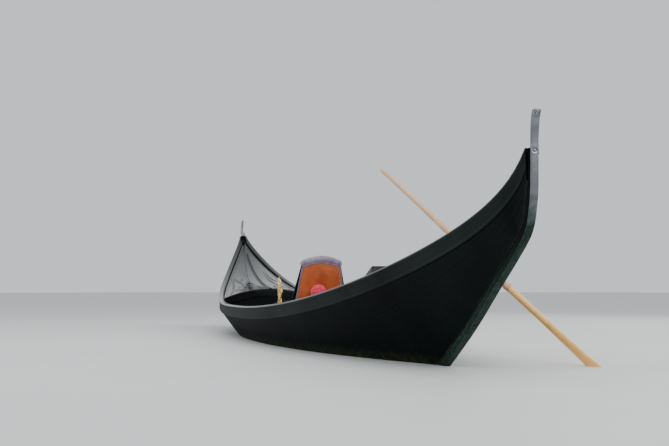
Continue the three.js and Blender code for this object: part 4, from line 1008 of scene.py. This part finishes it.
settle(joined("stern_iron_forging", sternParts), "polished_steel", "stern_iron")

comb = {"teeth": 6, "pitch": 0.066, "height": 0.040, "length": 0.118, "thick": 0.014, "wide": 0.046, "foot": 0.060,
        "off": 0.0312, "backTop": 1.128, "seat": 0.0009, "head": (0.120, 0.032, 0.012)}
combTop = bowTop - 0.062
combFoot = combTop - comb["pitch"] * comb["teeth"] - comb["foot"]
stemNormals = [normalAt(stemLine, i) for i in range(len(stemLine))]


def beforeStem(z, off):  # where a line outside the stem reaches a height, and the way out from there
    line = [p + n * off for p, n in zip(stemLine, stemNormals)]
    k = next((i for i, p in enumerate(line) if p.y >= z), None)
    if k is None:
        return Vector((line[-1].x, z)), Vector((1, 0))
    a, b = line[k - 1], line[k]
    return a.lerp(b, clamp01((z - a.y) / (b.y - a.y))), stemNormals[k]


stemRun = [p for p in offsetLine(stemLine, 1, strapShape["off"]) if p.y < combFoot - 0.004]
stemParts = [strapPiece("stem_strap", stemRun, strapShape["stemWidth"], stemSteel)]
for i in range(4, len(stemRun) - 1, 8):
    stemParts.append(bolt("stem_bolt", stemRun, i, 1, strapShape["bolt"], stemSteel))
settle(joined("stem_guard", stemParts), "polished_steel", "stem_strap")

back = beforeStem(bowTop, comb["off"])[0].x
backEdge = [beforeStem(z, comb["off"])[0] for z in np.linspace(combFoot, comb["backTop"], 24)]
root = beforeStem(combTop + 0.008, comb["off"] + comb["wide"])[0]
ironLine = backEdge + trace(
    (back, bowTop + 0.0008), (back - 0.034, bowTop + 0.0008), (back - 0.034, bowTop + 0.016),
    (back - 0.150, bowTop + 0.016), (back - 0.150, bowTop + 0.046), (back - 0.010, bowTop + 0.058),
    (back + 0.034, bowTop + 0.100, back + 0.018, bowTop + 0.190, back - 0.040, bowTop + 0.232),
    (back + 0.060, bowTop + 0.262, back + 0.176, bowTop + 0.190, back + 0.168, bowTop + 0.082),
    (back + 0.160, bowTop + 0.020, back + 0.096, bowTop - 0.022, root.x, root.y), steps=18)
for i in range(comb["teeth"]):
    top, out = beforeStem(combTop - i * comb["pitch"], comb["off"] + comb["wide"])
    down, reach = Vector((out.y, -out.x)), comb["length"] * (1 - 0.05 * i)
    ironLine += [top + out * a + down * b for a, b in
                 ((0, 0), (reach, -0.003), (reach, comb["height"] + 0.003), (0, comb["height"]))]
ironLine.append(beforeStem(combFoot, comb["off"] + 0.018)[0])
blade = plate("bow_blade", ironLine, comb["thick"], lambda a, b, d: Vector((a, d, b)), [polishedSteel], 0.0028)
reach, half, thick = comb["head"]
headCorners = [(back - reach, -half), (back, -half), (back, half), (back - reach, half)]
headSeat = bowTop + comb["seat"]
head = plate("bow_head", roundCorners(headCorners, 0.012, 4), thick,
             lambda a, b, d: Vector((a, b, headSeat + thick / 2 + d)), [polishedSteel], 0.0025)
rivet = [(0.0065, 0), (0.006, 0.003), (0.004, 0.0045), (poleRadius, 0.005)]
rivets = [turned("head_rivet", rivet, (back - u, v, headSeat + thick), (0, 0, 1), [polishedSteel], 14)
          for u in (0.020, 0.100) for v in (-0.021, 0.021)]
settle(joined("bow_iron_forging", [blade, head] + rivets), "polished_steel", "bow_iron")
print("irons made")

# Oar with its working collar
oar = {"loom": 1.15, "dive": 34.1, "outboard": 24.3, "crotch": (-2.95, -0.427, 0.958), "collar": 1.84}
dive, outboard = math.radians(oar["dive"]), math.radians(oar["outboard"])
oarDown = Vector((-math.cos(dive) * math.cos(outboard), -math.cos(dive) * math.sin(outboard), -math.sin(dive)))
oarAcross = Vector((0, 0, 1)).cross(oarDown).normalized()
oarUp = oarDown.cross(oarAcross).normalized()
grip = Vector(oar["crotch"]) - oarDown * oar["loom"]
# distance from the grip, half-thickness, half-width
oarSizes = [(0, 0.012, 0.012), (0.006, 0.016, 0.016), (0.03, 0.020, 0.020), (0.62, 0.020, 0.020),
            (0.90, 0.025, 0.025), (1.06, 0.027, 0.027), (2.30, 0.027, 0.027), (2.75, 0.022, 0.036),
            (3.15, 0.015, 0.060), (3.60, 0.010, 0.072), (4.12, 0.007, 0.074), (4.185, 0.006, 0.070),
            (4.20, 0.003, 0.062)]
# distance from the collar's middle, radius
collarShape = [(-0.034, 0.0262), (-0.030, 0.0300), (-0.018, 0.0332), (0.000, 0.0332), (0.010, 0.0300),
               (0.015, 0.0272), (0.020, 0.0295), (0.030, 0.0308), (0.040, 0.0290), (0.043, 0.0262)]
oarAround = 32


def oarRing(along, thick, wide):
    centre = grip + oarDown * along
    return [centre + oarAcross * math.cos(a) * thick + oarUp * math.sin(a) * wide
            for a in circleAngles(oarAround)]


knots, thicks, wides = zip(*oarSizes)
alongs = sorted({*knots, 1.24} | {i * 0.06 for i in range(70)})
rings = [oarRing(along, float(np.interp(along, knots, thicks)), float(np.interp(along, knots, wides)))
         for along in alongs]
shaft = loft("oar_shaft", rings, [oarWood], sharp=60)
marked(shaft, "length", [along for along in alongs for _ in range(oarAround)])
marked(shaft, "round", [abs(1 - 2 * i / oarAround) for i in range(oarAround)] * len(alongs))
settle(shaft, "oar_wood", "oar", body="oar")
collarRings = [oarRing(oar["collar"] + along, radius, radius) for along, radius in collarShape]
settle(loft("oar_collar", collarRings, [collarWood], sharp=50), "oar_wood", body="oar")


# Crotch post: the frame's solid worn round
crotchPost = polishedDown(dressed("forcola", "crotch_post", walnutWood, 0), 0.004, 9, walnutWood)
settle(crotchPost, "walnut", "forcola")
settle(dressed("forcola_block", "crotch_step", walnutWood, 0.005, 3), "walnut", "forcola_block")
settle(dressed("foot_wedge", "rower_wedge", boardWood, 0.005, 3), "floor_wood", "foot_wedge")
print("oar and crotch made")

# Main seat
seat = {"x": -0.35, "y": 0.14, "board": 0.15, "boardThick": 0.022, "boardDeep": 0.52, "boardHalf": 0.47, "lean": 14,
        "squabFrom": 0.11, "squab": (0.405, 0.80, 0.085)}
cushionZ = seat["board"] + seat["boardThick"] + hull["gap"]
lean = Matrix.Rotation(math.radians(-seat["lean"]), 4, "Y")
backTurn = Matrix.Translation((seat["x"], seat["y"], cushionZ)) @ lean
settle(dressed("seat_base", "seat_plinth", trimLacquer, 0.004), "black_lacquer", "seat_base")
settle(dressed("seat_board", "seat_board_and_arms", trimLacquer, 0.004, 3), "black_lacquer", "seat_board")
settle(dressed("seat_back", "seat_back_frame", trimLacquer, 0.005, 3), "black_lacquer", "seat_back")
plinthTrim = {"insets": (0.030, 0.046), "radius": 0.0045, "corner": 0.030, "lip": 0.0065}
low, high = nodeBox("seat_base")
loops = []
for inset in plinthTrim["insets"]:
    for axis in (0, 1):
        a0, a1 = low[1 - axis] + inset, high[1 - axis] - inset
        z0, z1 = low.z + inset, high.z - inset
        loop = roundCorners([(a0, z0), (a1, z0), (a1, z1), (a0, z1)], plinthTrim["corner"], 4)
        for face in (low[axis], high[axis]):
            loops.append([Vector((face, p.x, p.y) if axis == 0 else (p.x, face, p.y)) for p in loop + loop[:1]])
settle(moulding("seat_plinth_beading", loops, plinthTrim["radius"], trimLacquer), "black_lacquer")
x0, x1 = seat["x"], seat["x"] + seat["boardDeep"]
y0, y1 = seat["y"] - seat["boardHalf"], seat["y"] + seat["boardHalf"]
lipZ = seat["board"] + seat["boardThick"] / 2
lip = [Vector((x, y, lipZ)) for x, y in ((x0, y0), (x1, y0), (x1, y1), (x0, y1))]
settle(moulding("seat_board_lip", [lip + lip[:1]], plinthTrim["lip"], trimLacquer), "black_lacquer")
# the upholstered part of the back, across and up from its foot
padShape = {"foot": 0.261, "low": 0.096, "shoulder": 0.189, "high": 0.598, "bend": 0.684, "corner": 0.03,
            "middle": 0.36}


def padOutline(inset=0.0, steps=16, cornerSteps=4):
    foot, shoulder = padShape["foot"] - inset, padShape["shoulder"] - inset
    low, high, bend = padShape["low"] + inset, padShape["high"] - inset, padShape["bend"] - inset * 1.3
    line = trace((-foot, low), (foot, low), (shoulder, high), (0, bend, -shoulder, high), steps=steps)
    return roundCorners(line, padShape["corner"], cornerSteps)


def onBack(a, b, depth):
    return backTurn @ Vector((depth, a, b))


def backLine(inset, depth):  # a closed line that follows the pad's outline
    line = [onBack(p.x, p.y, depth) for p in padOutline(inset)]
    return line + line[:1]


# Closed pad: front and rear give the depth at a share of the way from its middle to its outline
def padForm(name, front, rear, steps, material, inset=0.0):
    outline = padOutline(inset)
    middle = Vector((0, padShape["middle"]))
    rings = []
    shares = [1 - (i / steps) ** 1.5 for i in range(steps)]
    for share in shares[::-1]:
        rings.append([onBack(*(middle + (p - middle) * share), rear(share)) for p in outline])
    for share in shares:
        rings.append([onBack(*(middle + (p - middle) * share), front(share)) for p in outline])
    return loft(name, rings, [material], sharp=70)


outer = {"edge": -0.0095, "swell": 0.006, "rear": -0.0006, "proud": -0.009}
outerPanel = padForm("back_outer_leather", lambda s: outer["edge"] - outer["swell"] * (1 - s ** 4),
                     lambda s: outer["rear"], 7, seatLeather, outer["proud"])
settle(outerPanel, "seat_leather", "back_panel")
piping = backLine(-0.007, outer["edge"])
settle(moulding("back_outer_piping", [piping], 0.0065, pipingFabric, sides=10), "crest_fabric")
nails = backLine(0.009, -0.0135)
settle(beads("back_outer_nails", [nails], 0.024, (0.0045, 0.0045, 0.0045), polishedBrass), "polished_brass")

# Crest: a roll along the back's top edge that thins towards its ends, with two cords near each
crest = {"half": 0.205, "end": 0.612, "bend": 0.704, "radius": 0.030, "least": 0.55, "sit": 0.62, "tall": 1.4,
         "depth": 0.013, "steps": 40, "around": 24, "cordsAt": (3, 4, 36, 37), "cordOut": 1.03, "cord": 0.0028}
bendX, bendZ = crest["half"] / 3, mix(crest["end"], crest["bend"], 2 / 3)
crestEnds = [(crest["half"], crest["end"]), (-crest["half"], crest["end"])]
crestCurve = bezier([crestEnds[0], (bendX, bendZ), (-bendX, bendZ), crestEnds[1]], crest["steps"])
rings, cords = [], []
for i, p in enumerate(crestCurve):
    normal = normalAt(crestCurve, i)
    if normal.y < 0:
        normal = -normal
    inwards = math.sin(math.pi * (i * 0.3 + 0.6) / 13.2)
    full = crest["radius"] * mix(crest["least"], 1, math.sqrt(inwards))
    r = full if 0 < i < crest["steps"] else full * crest["least"]
    centre = p + normal * full * crest["sit"]
    ring = []
    for a in circleAngles(crest["around"]):
        spot = centre + normal * math.sin(a) * r * crest["tall"]
        ring.append(onBack(spot.x, spot.y, crest["depth"] + math.cos(a) * r))
    rings.append(ring)
for i in crest["cordsAt"]:
    centre = sum(rings[i], Vector()) / len(rings[i])
    cords.append([centre.lerp(p, crest["cordOut"]) for p in rings[i] + rings[i][:1]])
settle(moulding("crest_cords", cords, crest["cord"], pipingFabric, sides=6), "crest_fabric")
bolster = loft("crest_bolster", rings, [crestFabric], sharp=70)
settle(bolster, "crest_fabric", "crest_roll")

# Cushions, blown up as cloth from a slightly smaller form
stuffing = {"frames": 20, "pressure": 4.0, "stiff": 12.0, "bending": 0.8, "mass": 0.3, "voxel": 0.009,
            "cap": 0.014, "crown": 0.012, "corner": 0.05, "waist": 0.035, "inset": 0.012, "under": 0.020,
            "pipe": 0.0042}


def crownedBlock(name, low, high):  # a box with a domed top, corners drawn in and sides a little waisted
    work = bmesh.new()
    bmesh.ops.create_cube(work, size=2.0)
    bmesh.ops.subdivide_edges(work, edges=work.edges, cuts=9, use_grid_fill=True)
    middle, half = (low + high) / 2, (high - low) / 2
    waist = stuffing["waist"]
    for v in work.verts:
        x, y, z = v.co
        near = (1 - min(1, 2 - abs(x) - abs(y))) * (abs(x) > 0.8) * (abs(y) > 0.8)
        narrow = 1 - waist * (1 - x ** 2) * (abs(y) > 0.99) - waist * (1 - y ** 2) * (abs(x) > 0.99)
        narrow *= 1 - stuffing["corner"] * near
        rise = stuffing["crown"] * max(0.0, 1 - x ** 4) * max(0.0, 1 - y ** 4) if z > 0 else 0.0
        v.co = middle + Vector((x * half.x * narrow, y * half.y * narrow, z * half.z + rise * z))
    return newPiece(name, meshFrom(work, name), squabLeatherPaintedShade)


def stuffed(piece, voxel, cap, isHeld):
    remeshed(piece, voxel)
    baked(piece)
    rest = np.array([v.co for v in piece.data.vertices])
    held = piece.vertex_groups.new(name="held")
    held.add([v.index for v in piece.data.vertices if isHeld(v.co)], 1.0, "REPLACE")
    cloth = piece.modifiers.new("cloth", "CLOTH")
    settings = cloth.settings
    settings.quality, settings.mass, settings.time_scale = 5, stuffing["mass"], 1.0
    settings.tension_stiffness = settings.compression_stiffness = stuffing["stiff"]
    settings.bending_stiffness = stuffing["bending"]
    settings.use_pressure, settings.uniform_pressure_force = True, stuffing["pressure"]
    settings.effector_weights.gravity = 0
    settings.vertex_group_mass = "held"
    cloth.collision_settings.use_collision = False
    cloth.point_cache.frame_start, cloth.point_cache.frame_end = 1, stuffing["frames"]
    for number in range(1, stuffing["frames"] + 1):
        scene.frame_set(number)
    baked(piece)
    scene.frame_set(1)
    blown = np.array([v.co for v in piece.data.vertices])
    step = blown - rest
    far = np.linalg.norm(step, axis=1, keepdims=True)
    blown = rest + step * np.minimum(1.0, cap / np.maximum(far, 1e-9))  # no point moves past the cap
    piece.data.vertices.foreach_set("co", blown.astype(np.float32).ravel())
    finer = piece.modifiers.new("finer", "SUBSURF")
    finer.levels = finer.render_levels = 1
    baked(piece)
    piece.vertex_groups.clear()
    return painted(piece, squabLeatherPaintedShade)


def surfaceLoop(piece, path):  # a closed line laid on the piece's surface
    mesh = piece.data
    tree = BVHTree.FromPolygons([v.co for v in mesh.vertices], [p.vertices for p in mesh.polygons])
    loop = [tree.find_nearest(p)[0] for p in path]
    return loop + loop[:1]


def pipedCushion(name, low, high, slotNode, place=Matrix.Identity(4)):
    small = Vector((stuffing["inset"], stuffing["inset"], 0.0))
    cushion = crownedBlock(name, low + small, high - small - Vector((0, 0, stuffing["under"])))
    stuffed(cushion, stuffing["voxel"], stuffing["cap"], lambda p: p.z < low.z + 0.004)
    box = roundCorners([(low.x, low.y), (high.x, low.y), (high.x, high.y), (low.x, high.y)], 0.03, 4)
    dense = [p.lerp(q, k / 6) for p, q in zip(box, box[1:] + box[:1]) for k in range(6)]
    heights = (high.z - 0.022, low.z + 0.012)
    loops = [surfaceLoop(cushion, [Vector((*p, height)) for p in dense]) for height in heights]
    pipe = moulding(f"{name}_piping", loops, stuffing["pipe"], pipingFabric)
    for piece in (cushion, pipe):
        piece.data.transform(place)
        piece.data.update()
    settle(cushion, "seat_leather", slotNode)
    settle(pipe, "crest_fabric")
    return cushion, pipe


seatLow = Vector((seat["x"] + seat["squabFrom"], seat["y"] - seat["squab"][1] / 2, cushionZ))
pipedCushion("seat_squab", seatLow, seatLow + Vector(seat["squab"]), "seat_cushion")
benchLow = Vector((2.016, -0.22, 0.1303))
pipedCushion("bench_squab", benchLow, benchLow + Vector((0.308, 0.62, 0.0617)), "bow_bench_cushion")

# Back's cushion: rows of buttons by height, depths measured forward from the back's plane
backPad = {"rear": 0.0268, "edge": 0.0405, "swell": 0.024, "voxel": 0.0075, "cap": 0.018, "heldTo": 0.030,
           "front": 0.045, "held": 0.010, "pipesAt": (0.0305, 0.048), "button": (0.0045, 0.009, 0.009)}
buttonRows = {0.20: (-0.15, -0.05, 0.05, 0.15), 0.32: (-0.10, 0.0, 0.10), 0.44: (-0.13, -0.045, 0.045, 0.13),
              0.55: (-0.08, 0.0, 0.08)}
buttons = [Vector((y, z)) for z, row in buttonRows.items() for y in row]
inward = backTurn.inverted()


def heldOnBack(point):
    p = inward @ point
    nearest = min((p.yz - b).length for b in buttons)
    return p.x < backPad["heldTo"] or (p.x > backPad["front"] and nearest < backPad["held"])


def padFront(share):
    return backPad["edge"] + backPad["swell"] * min(1, (1 - share) * 9) ** 0.5


backCushion = padForm("back_squab", padFront, lambda share: backPad["rear"], 9, squabLeatherPaintedShade)
stuffed(backCushion, backPad["voxel"], backPad["cap"], heldOnBack)
rim = padOutline(-0.004, 28, 6)
for number, depth in enumerate(backPad["pipesAt"]):
    loop = surfaceLoop(backCushion, [onBack(p.x, p.y, depth) for p in rim])
    settle(moulding(f"back_squab_piping_{number}", [loop], stuffing["pipe"], pipingFabric), "crest_fabric")
settle(backCushion, "seat_leather", "back_pad")
onFront = surfaceLoop(backCushion, [onBack(b.x, b.y, 0.062) for b in buttons])[:-1]
outwards = backTurn.to_3x3() @ Vector((1, 0, 0))
pairs = [[p + outwards * 0.001, p + outwards * 0.0011] for p in onFront]
settle(beads("back_squab_buttons", pairs, 1.0, backPad["button"], squabLeatherPaintedShade), "seat_leather")

# Chairs, each in its own frame: front along its x, width along its y, then turned and set down
chairs = {"port": ((1.02, 0.16), 90), "starboard": ((1.15, 0.03), -90)}
chairTrim = {
    "bead": 0.0042, "nail": (0.0038, 0.0038, 0.0038), "pitch": 0.019, "ferrule": 0.034, "foot": -0.1277,
    "faces": (-0.0005, 0.0265), "legsX": (0.013, 0.347), "legsY": (0.013, 0.387), "knobAt": (0.275, 0.392),
    "panel": ((0.045, 0.285), (0.355, 0.285), (0.355, 0.447), (0.200, 0.478), (0.045, 0.447)),
    "nails": ((0.011, 0.270), (0.011, 0.459), (0.036, 0.496), (0.200, 0.509), (0.364, 0.496), (0.389, 0.459),
              (0.389, 0.270)),
    "knob": ((0.0070, -0.001), (0.0070, 0.003), (0.0050, 0.005), (0.0105, 0.009), (0.0125, 0.014),
             (0.0105, 0.019), (0.0050, 0.0225), (poleRadius, 0.0235)),
}


def trimChair(label, place):
    panel = roundCorners(chairTrim["panel"], 0.018, 4)
    loops = [[place @ Vector((x, *p)) for p in panel + panel[:1]] for x in chairTrim["faces"]]
    settle(moulding(f"{label}_chair_beading", loops, chairTrim["bead"], trimLacquer), "black_lacquer")
    lines = [[place @ Vector((x, *p)) for p in chairTrim["nails"]] for x in chairTrim["faces"]]
    nails = beads(f"{label}_chair_nails", lines, chairTrim["pitch"], chairTrim["nail"], polishedBrass)
    settle(nails, "polished_brass")
    knobX, knobZ = chairTrim["knobAt"]
    brass = [turned("knob", chairTrim["knob"], place @ Vector((knobX, y, knobZ)), (0, 0, 1), [polishedBrass])
             for y in chairTrim["legsY"]]
    square = roundCorners([(-1, -1), (1, -1), (1, 1), (-1, 1)], 0.25, 3)
    tall = chairTrim["ferrule"]
    levels = ((0.0135, 0.001), (0.0150, 0.003), (0.0150, tall - 0.003), (0.0135, tall))
    for x in chairTrim["legsX"]:
        for y in chairTrim["legsY"]:
            rings = [[place @ Vector((x + p.x * r, y + p.y * r, z)) for p in square] for r, z in levels]
            brass.append(loft("ferrule", rings, [polishedBrass], sharp=50))
    settle(joined(f"{label}_chair_brass", brass), "polished_brass")


for label, ((x, y), turn) in chairs.items():
    place = Matrix.Translation((x, y, chairTrim["foot"])) @ Matrix.Rotation(math.radians(turn), 4, "Z")
    chairFrame = dressed(f"chair_{label}", f"{label}_chair_frame", trimLacquer, 0.004, 3)
    settle(chairFrame, "black_lacquer", f"chair_{label}")
    trimChair(label, place)
    if label == "port":
        low, high = Vector((0.030, 0.030, 0.2503)), Vector((0.356, 0.370, 0.310))
        first = pipedCushion("port_chair_squab", low, high, f"chair_{label}_cushion", place)
        firstPlace = place
    else:  # the other chair takes a copy of the first one's cushion
        for piece, slotName in zip(first, ("seat_leather", "crest_fabric")):
            mesh = piece.data.copy()
            mesh.transform(place @ firstPlace.inverted())
            copy = newPiece(piece.name.replace("port", "starboard"), mesh)
            if slotName == "seat_leather":
                settle(copy, slotName, f"chair_{label}_cushion")
            else:
                settle(copy, slotName)
settle(dressed("bow_bench", "bow_bench_frame", trimLacquer, 0.005, 3), "black_lacquer", "bow_bench")
lip = [Vector((x, y, 0.118)) for x, y in ((2.335, -0.24), (2.010, -0.24), (2.010, 0.42), (2.335, 0.42))]
settle(moulding("bow_bench_lip", [lip], plinthTrim["lip"], trimLacquer), "black_lacquer")
print("seats made")

# Wool tassel
tassel = {"at": (-0.0653, 0.03, 0.368), "shape": (0.75, 1.1, 0.9), "radius": 0.056}
strands = {"Density": 26000.0, "Length": 0.022, "Seed": 7, "Material": redWool}
work = bmesh.new()
bmesh.ops.create_icosphere(work, subdivisions=3, radius=tassel["radius"])
for v in work.verts:
    v.co = backTurn @ (v.co * Vector(tassel["shape"]) + Vector(tassel["at"]))
settle(runTree("wool_tassel", "tufts", meshFrom(work, "wool_tassel"), strands), "red_wool", "pompom")

# Carpet laid on the boards
carpet = {"x": (0.19, 0.60), "y": (-0.29, 0.47), "z": -0.1235, "thick": 0.003, "fringe": 0.011,
          "fringeIn": 0.003, "strand": (0.008, 0.0022, 0.0016)}
xs, ys = stations(*carpet["x"], 0.012), stations(*carpet["y"], 0.012)
verts, edgeAt = [], []
for x in xs:
    for y in ys:
        lift = 0.0012 * math.sin(x * 23 + y * 7) + 0.0010 * math.sin(y * 31)
        verts.append((x, y, carpet["z"] + lift))
        gap = min(x - xs[0], xs[-1] - x, y - ys[0], ys[-1] - y)
        edgeAt.append(clamp01(gap / 0.205))
count = len(ys)
corners = [i * count + j for i in range(len(xs) - 1) for j in range(count - 1)]
faces = [(k, k + count, k + count + 1, k + 1) for k in corners]
rug = fromLists("laid_carpet", verts, faces, [carpetCloth], sharp=80)
marked(rug, "edge", edgeAt)
thicker = rug.modifiers.new("pile", "SOLIDIFY")
thicker.thickness, thicker.offset = carpet["thick"], 0.0
baked(rug)
setShade(rug.data, 60)
ends = (carpet["y"][0] + carpet["fringeIn"], carpet["y"][1] - carpet["fringeIn"])
fringeLines = [[Vector((x, y, carpet["z"])) for x in stations(*carpet["x"], 0.05)] for y in ends]
fringe = beads("carpet_fringe", fringeLines, carpet["fringe"], carpet["strand"], carpetCloth, math.pi / 2)
settle(rug, "carpet_cloth", "carpet")
settle(fringe, "carpet_cloth")

# Sea-horse ornaments: round bodies along curves, fused and polished down
horse = {"x": -1.53, "voxel": 0.0019, "soften": 3, "reach": 0.075, "inboard": 0.022, "proud": 0.0008}
horseTubes = {  # place along, height and radius in the boat's length plane, then the greatest depth across
    "body": ([(-0.054, 0.108, 0.005), (-0.066, 0.120, 0.008), (-0.080, 0.110, 0.009), (-0.078, 0.088, 0.011),
              (-0.056, 0.068, 0.015), (-0.026, 0.058, 0.020), (0.002, 0.068, 0.024), (0.020, 0.096, 0.025),
              (0.024, 0.130, 0.022), (0.022, 0.160, 0.018), (0.030, 0.186, 0.017), (0.046, 0.205, 0.017)], 0.017),
    "head": ([(0.030, 0.205, 0.012), (0.048, 0.206, 0.017), (0.066, 0.200, 0.013), (0.082, 0.191, 0.009),
              (0.090, 0.186, 0.007)], 0.012),
    "ear": ([(0.044, 0.216, 0.006), (0.038, 0.230, 0.004), (0.034, 0.238, 0.002)], 0.006),
    "leg": ([(0.026, 0.106, 0.013), (0.050, 0.122, 0.010), (0.066, 0.120, 0.007), (0.076, 0.110, 0.006),
             (0.090, 0.118, 0.006)], 0.008),
    "mane": ([(0.000, 0.092, 0.007), (-0.010, 0.120, 0.012), (-0.010, 0.150, 0.013), (0.000, 0.180, 0.013),
              (0.016, 0.206, 0.011), (0.034, 0.222, 0.005)], 0.005),
    "fin": ([(-0.052, 0.086, 0.006), (-0.036, 0.100, 0.011), (-0.020, 0.104, 0.010),
             (-0.006, 0.100, 0.006)], 0.004),
    "wave": ([(-0.070, 0.014, 0.006), (-0.040, 0.026, 0.010), (-0.012, 0.042, 0.015), (0.010, 0.046, 0.015),
              (0.040, 0.028, 0.010), (0.068, 0.014, 0.006)], 0.012),
}


def tube(name, points, deep, frilled, steps=8, around=20):
    line = throughPoints([Vector(p) for p in points], steps)
    rings = []
    for i, p in enumerate(line):
        tangent = (line[min(i + 1, len(line) - 1)] - line[max(i - 1, 0)]).xy.normalized()
        normal = Vector((tangent.y, -tangent.x))
        r = p.z * (1 + (0.28 * abs(math.sin(i * 0.55)) - 0.1 if frilled else 0))
        if i in (0, len(line) - 1):
            r *= 0.5
        ring = []
        for a in circleAngles(around):
            out = normal * r * math.cos(a)
            ring.append(Vector((p.x + out.x, min(r, deep) * math.sin(a), p.y + out.y)))
        rings.append(ring)
    return loft(name, rings, [polishedBrass])


def seaHorse(name):
    parts = [tube(key, points, deep, key in ("mane", "fin")) for key, (points, deep) in horseTubes.items()]
    eye = [(0.0045, -0.004), (0.0045, 0), (0.0042, 0.002), (0.0025, 0.0035), (0.0003, 0.004)]
    cheek = [(0.013, -0.006), (0.011, 0.0), (0.006, 0.0025), (0.0003, 0.003)]
    for out in (-1, 1):
        parts.append(turned("eye", eye, (0.056, out * 0.0105, 0.207), (0, out, 0), [polishedBrass], 12))
        parts.append(turned("cheek", cheek, (0.044, out * 0.0125, 0.202), (0, out, 0), [polishedBrass], 16))
    foot = [(horse["reach"] * math.cos(a), 0.015 * math.sin(a)) for a in circleAngles(40)]
    parts.append(plate("foot", foot, 0.010, lambda a, b, d: Vector((a, b, 0.0055 + d)), [polishedBrass],
                       0.002))
    return polishedDown(joined(name, parts), horse["voxel"], horse["soften"], polishedBrass)


highest = max(sheerAt(horse["x"] - horse["reach"]), sheerAt(horse["x"] + horse["reach"]))
horseFoot = highest + hull["capTop"] + horse["proud"]
for side, label in sides.items():
    ornament = seaHorse(f"{label}_sea_horse")
    out = side * (sheerHalf(horse["x"], side) - horse["inboard"])
    ornament.data.transform(Matrix.Translation((horse["x"], out, horseFoot)))
    settle(ornament, "polished_brass", f"sea_horse_{label}")
print("fittings made")

# Pale floor at the waterline, open inside the hull
water = {"growths": (0.3, 1.5, 8.0, 60.0), "level": 0.0, "edge": 0.010, "least": 0.002, "aft": -3.84,
         "fore": 3.69}
outline = []
for side in (1, -1):
    points = []
    for x in stations(water["aft"], water["fore"], 0.08):
        half = halfAt(x, side, max(water["level"], keelAt(x) + 0.021), water["edge"])
        points.append(Vector((x, side * max(water["least"], half))))
    outline += points if side == 1 else points[::-1]
count = len(outline)
verts, faces = [], []
for p in outline:
    verts.append((p.x, p.y, water["level"]))
for growth in water["growths"]:
    for p in outline:
        direction = Vector((p.x * 0.35, p.y * 3.0 + math.copysign(0.25, p.y))).normalized()
        q = p + direction * growth
        verts.append((q.x, q.y, water["level"]))
for r in range(len(water["growths"])):
    for j in range(count):
        k = (j + 1) % count
        faces.append((r * count + j, r * count + k, (r + 1) * count + k, (r + 1) * count + j))
floorMaterial, tree, shader, place = startMaterial("studioFloor", {"Roughness": 0.6})
tone = noise(tree, place, 0.6, 3)
wire(tree, shader, ramp(tree, tone, (0.3, (0.63, 0.64, 0.635)), (0.7, (0.66, 0.67, 0.665))))
floor = fromLists("studio_floor", verts, faces, [floorMaterial], sharp=90)
for polygon in floor.data.polygons:
    polygon.use_smooth = False
if floor.data.polygons[0].normal.z < 0:
    floor.data.flip_normals()

# Soft studio light
lamps = {  # place, size, power, colour
    "overhead": ((-1.0, 0.5, 8.5), (14, 8), 480, (1.0, 0.99, 0.97)),
    "portSide": ((-7.0, 8.5, 5.0), (7, 5), 340, (0.93, 0.97, 1.0)),
    "behind": ((-13.0, -4.0, 5.0), (6, 4), 330, (1.0, 0.97, 0.93)),
    "foreStarboard": ((5.0, -8.0, 5.5), (7, 5), 250, (1.0, 0.98, 0.95)),
}
for label, (spot, size, power, colour) in lamps.items():
    data = bpy.data.lights.new(label, "AREA")
    data.shape, (data.size, data.size_y) = "RECTANGLE", size
    data.energy, data.color = power, colour
    lamp = bpy.data.objects.new(label, data)
    lamp.location = spot
    lamp.rotation_euler = (Vector((-0.5, 0, 0.4)) - Vector(spot)).to_track_quat("-Z", "Y").to_euler()
    scene.collection.objects.link(lamp)
world = bpy.data.worlds.new("studio")
scene.world = world
world.use_nodes = True
sky = world.node_tree.nodes["Background"].inputs
sky["Color"].default_value = (0.80, 0.83, 0.86, 1)
sky["Strength"].default_value = 0.98
print("stage set")

bpy.context.view_layer.update()
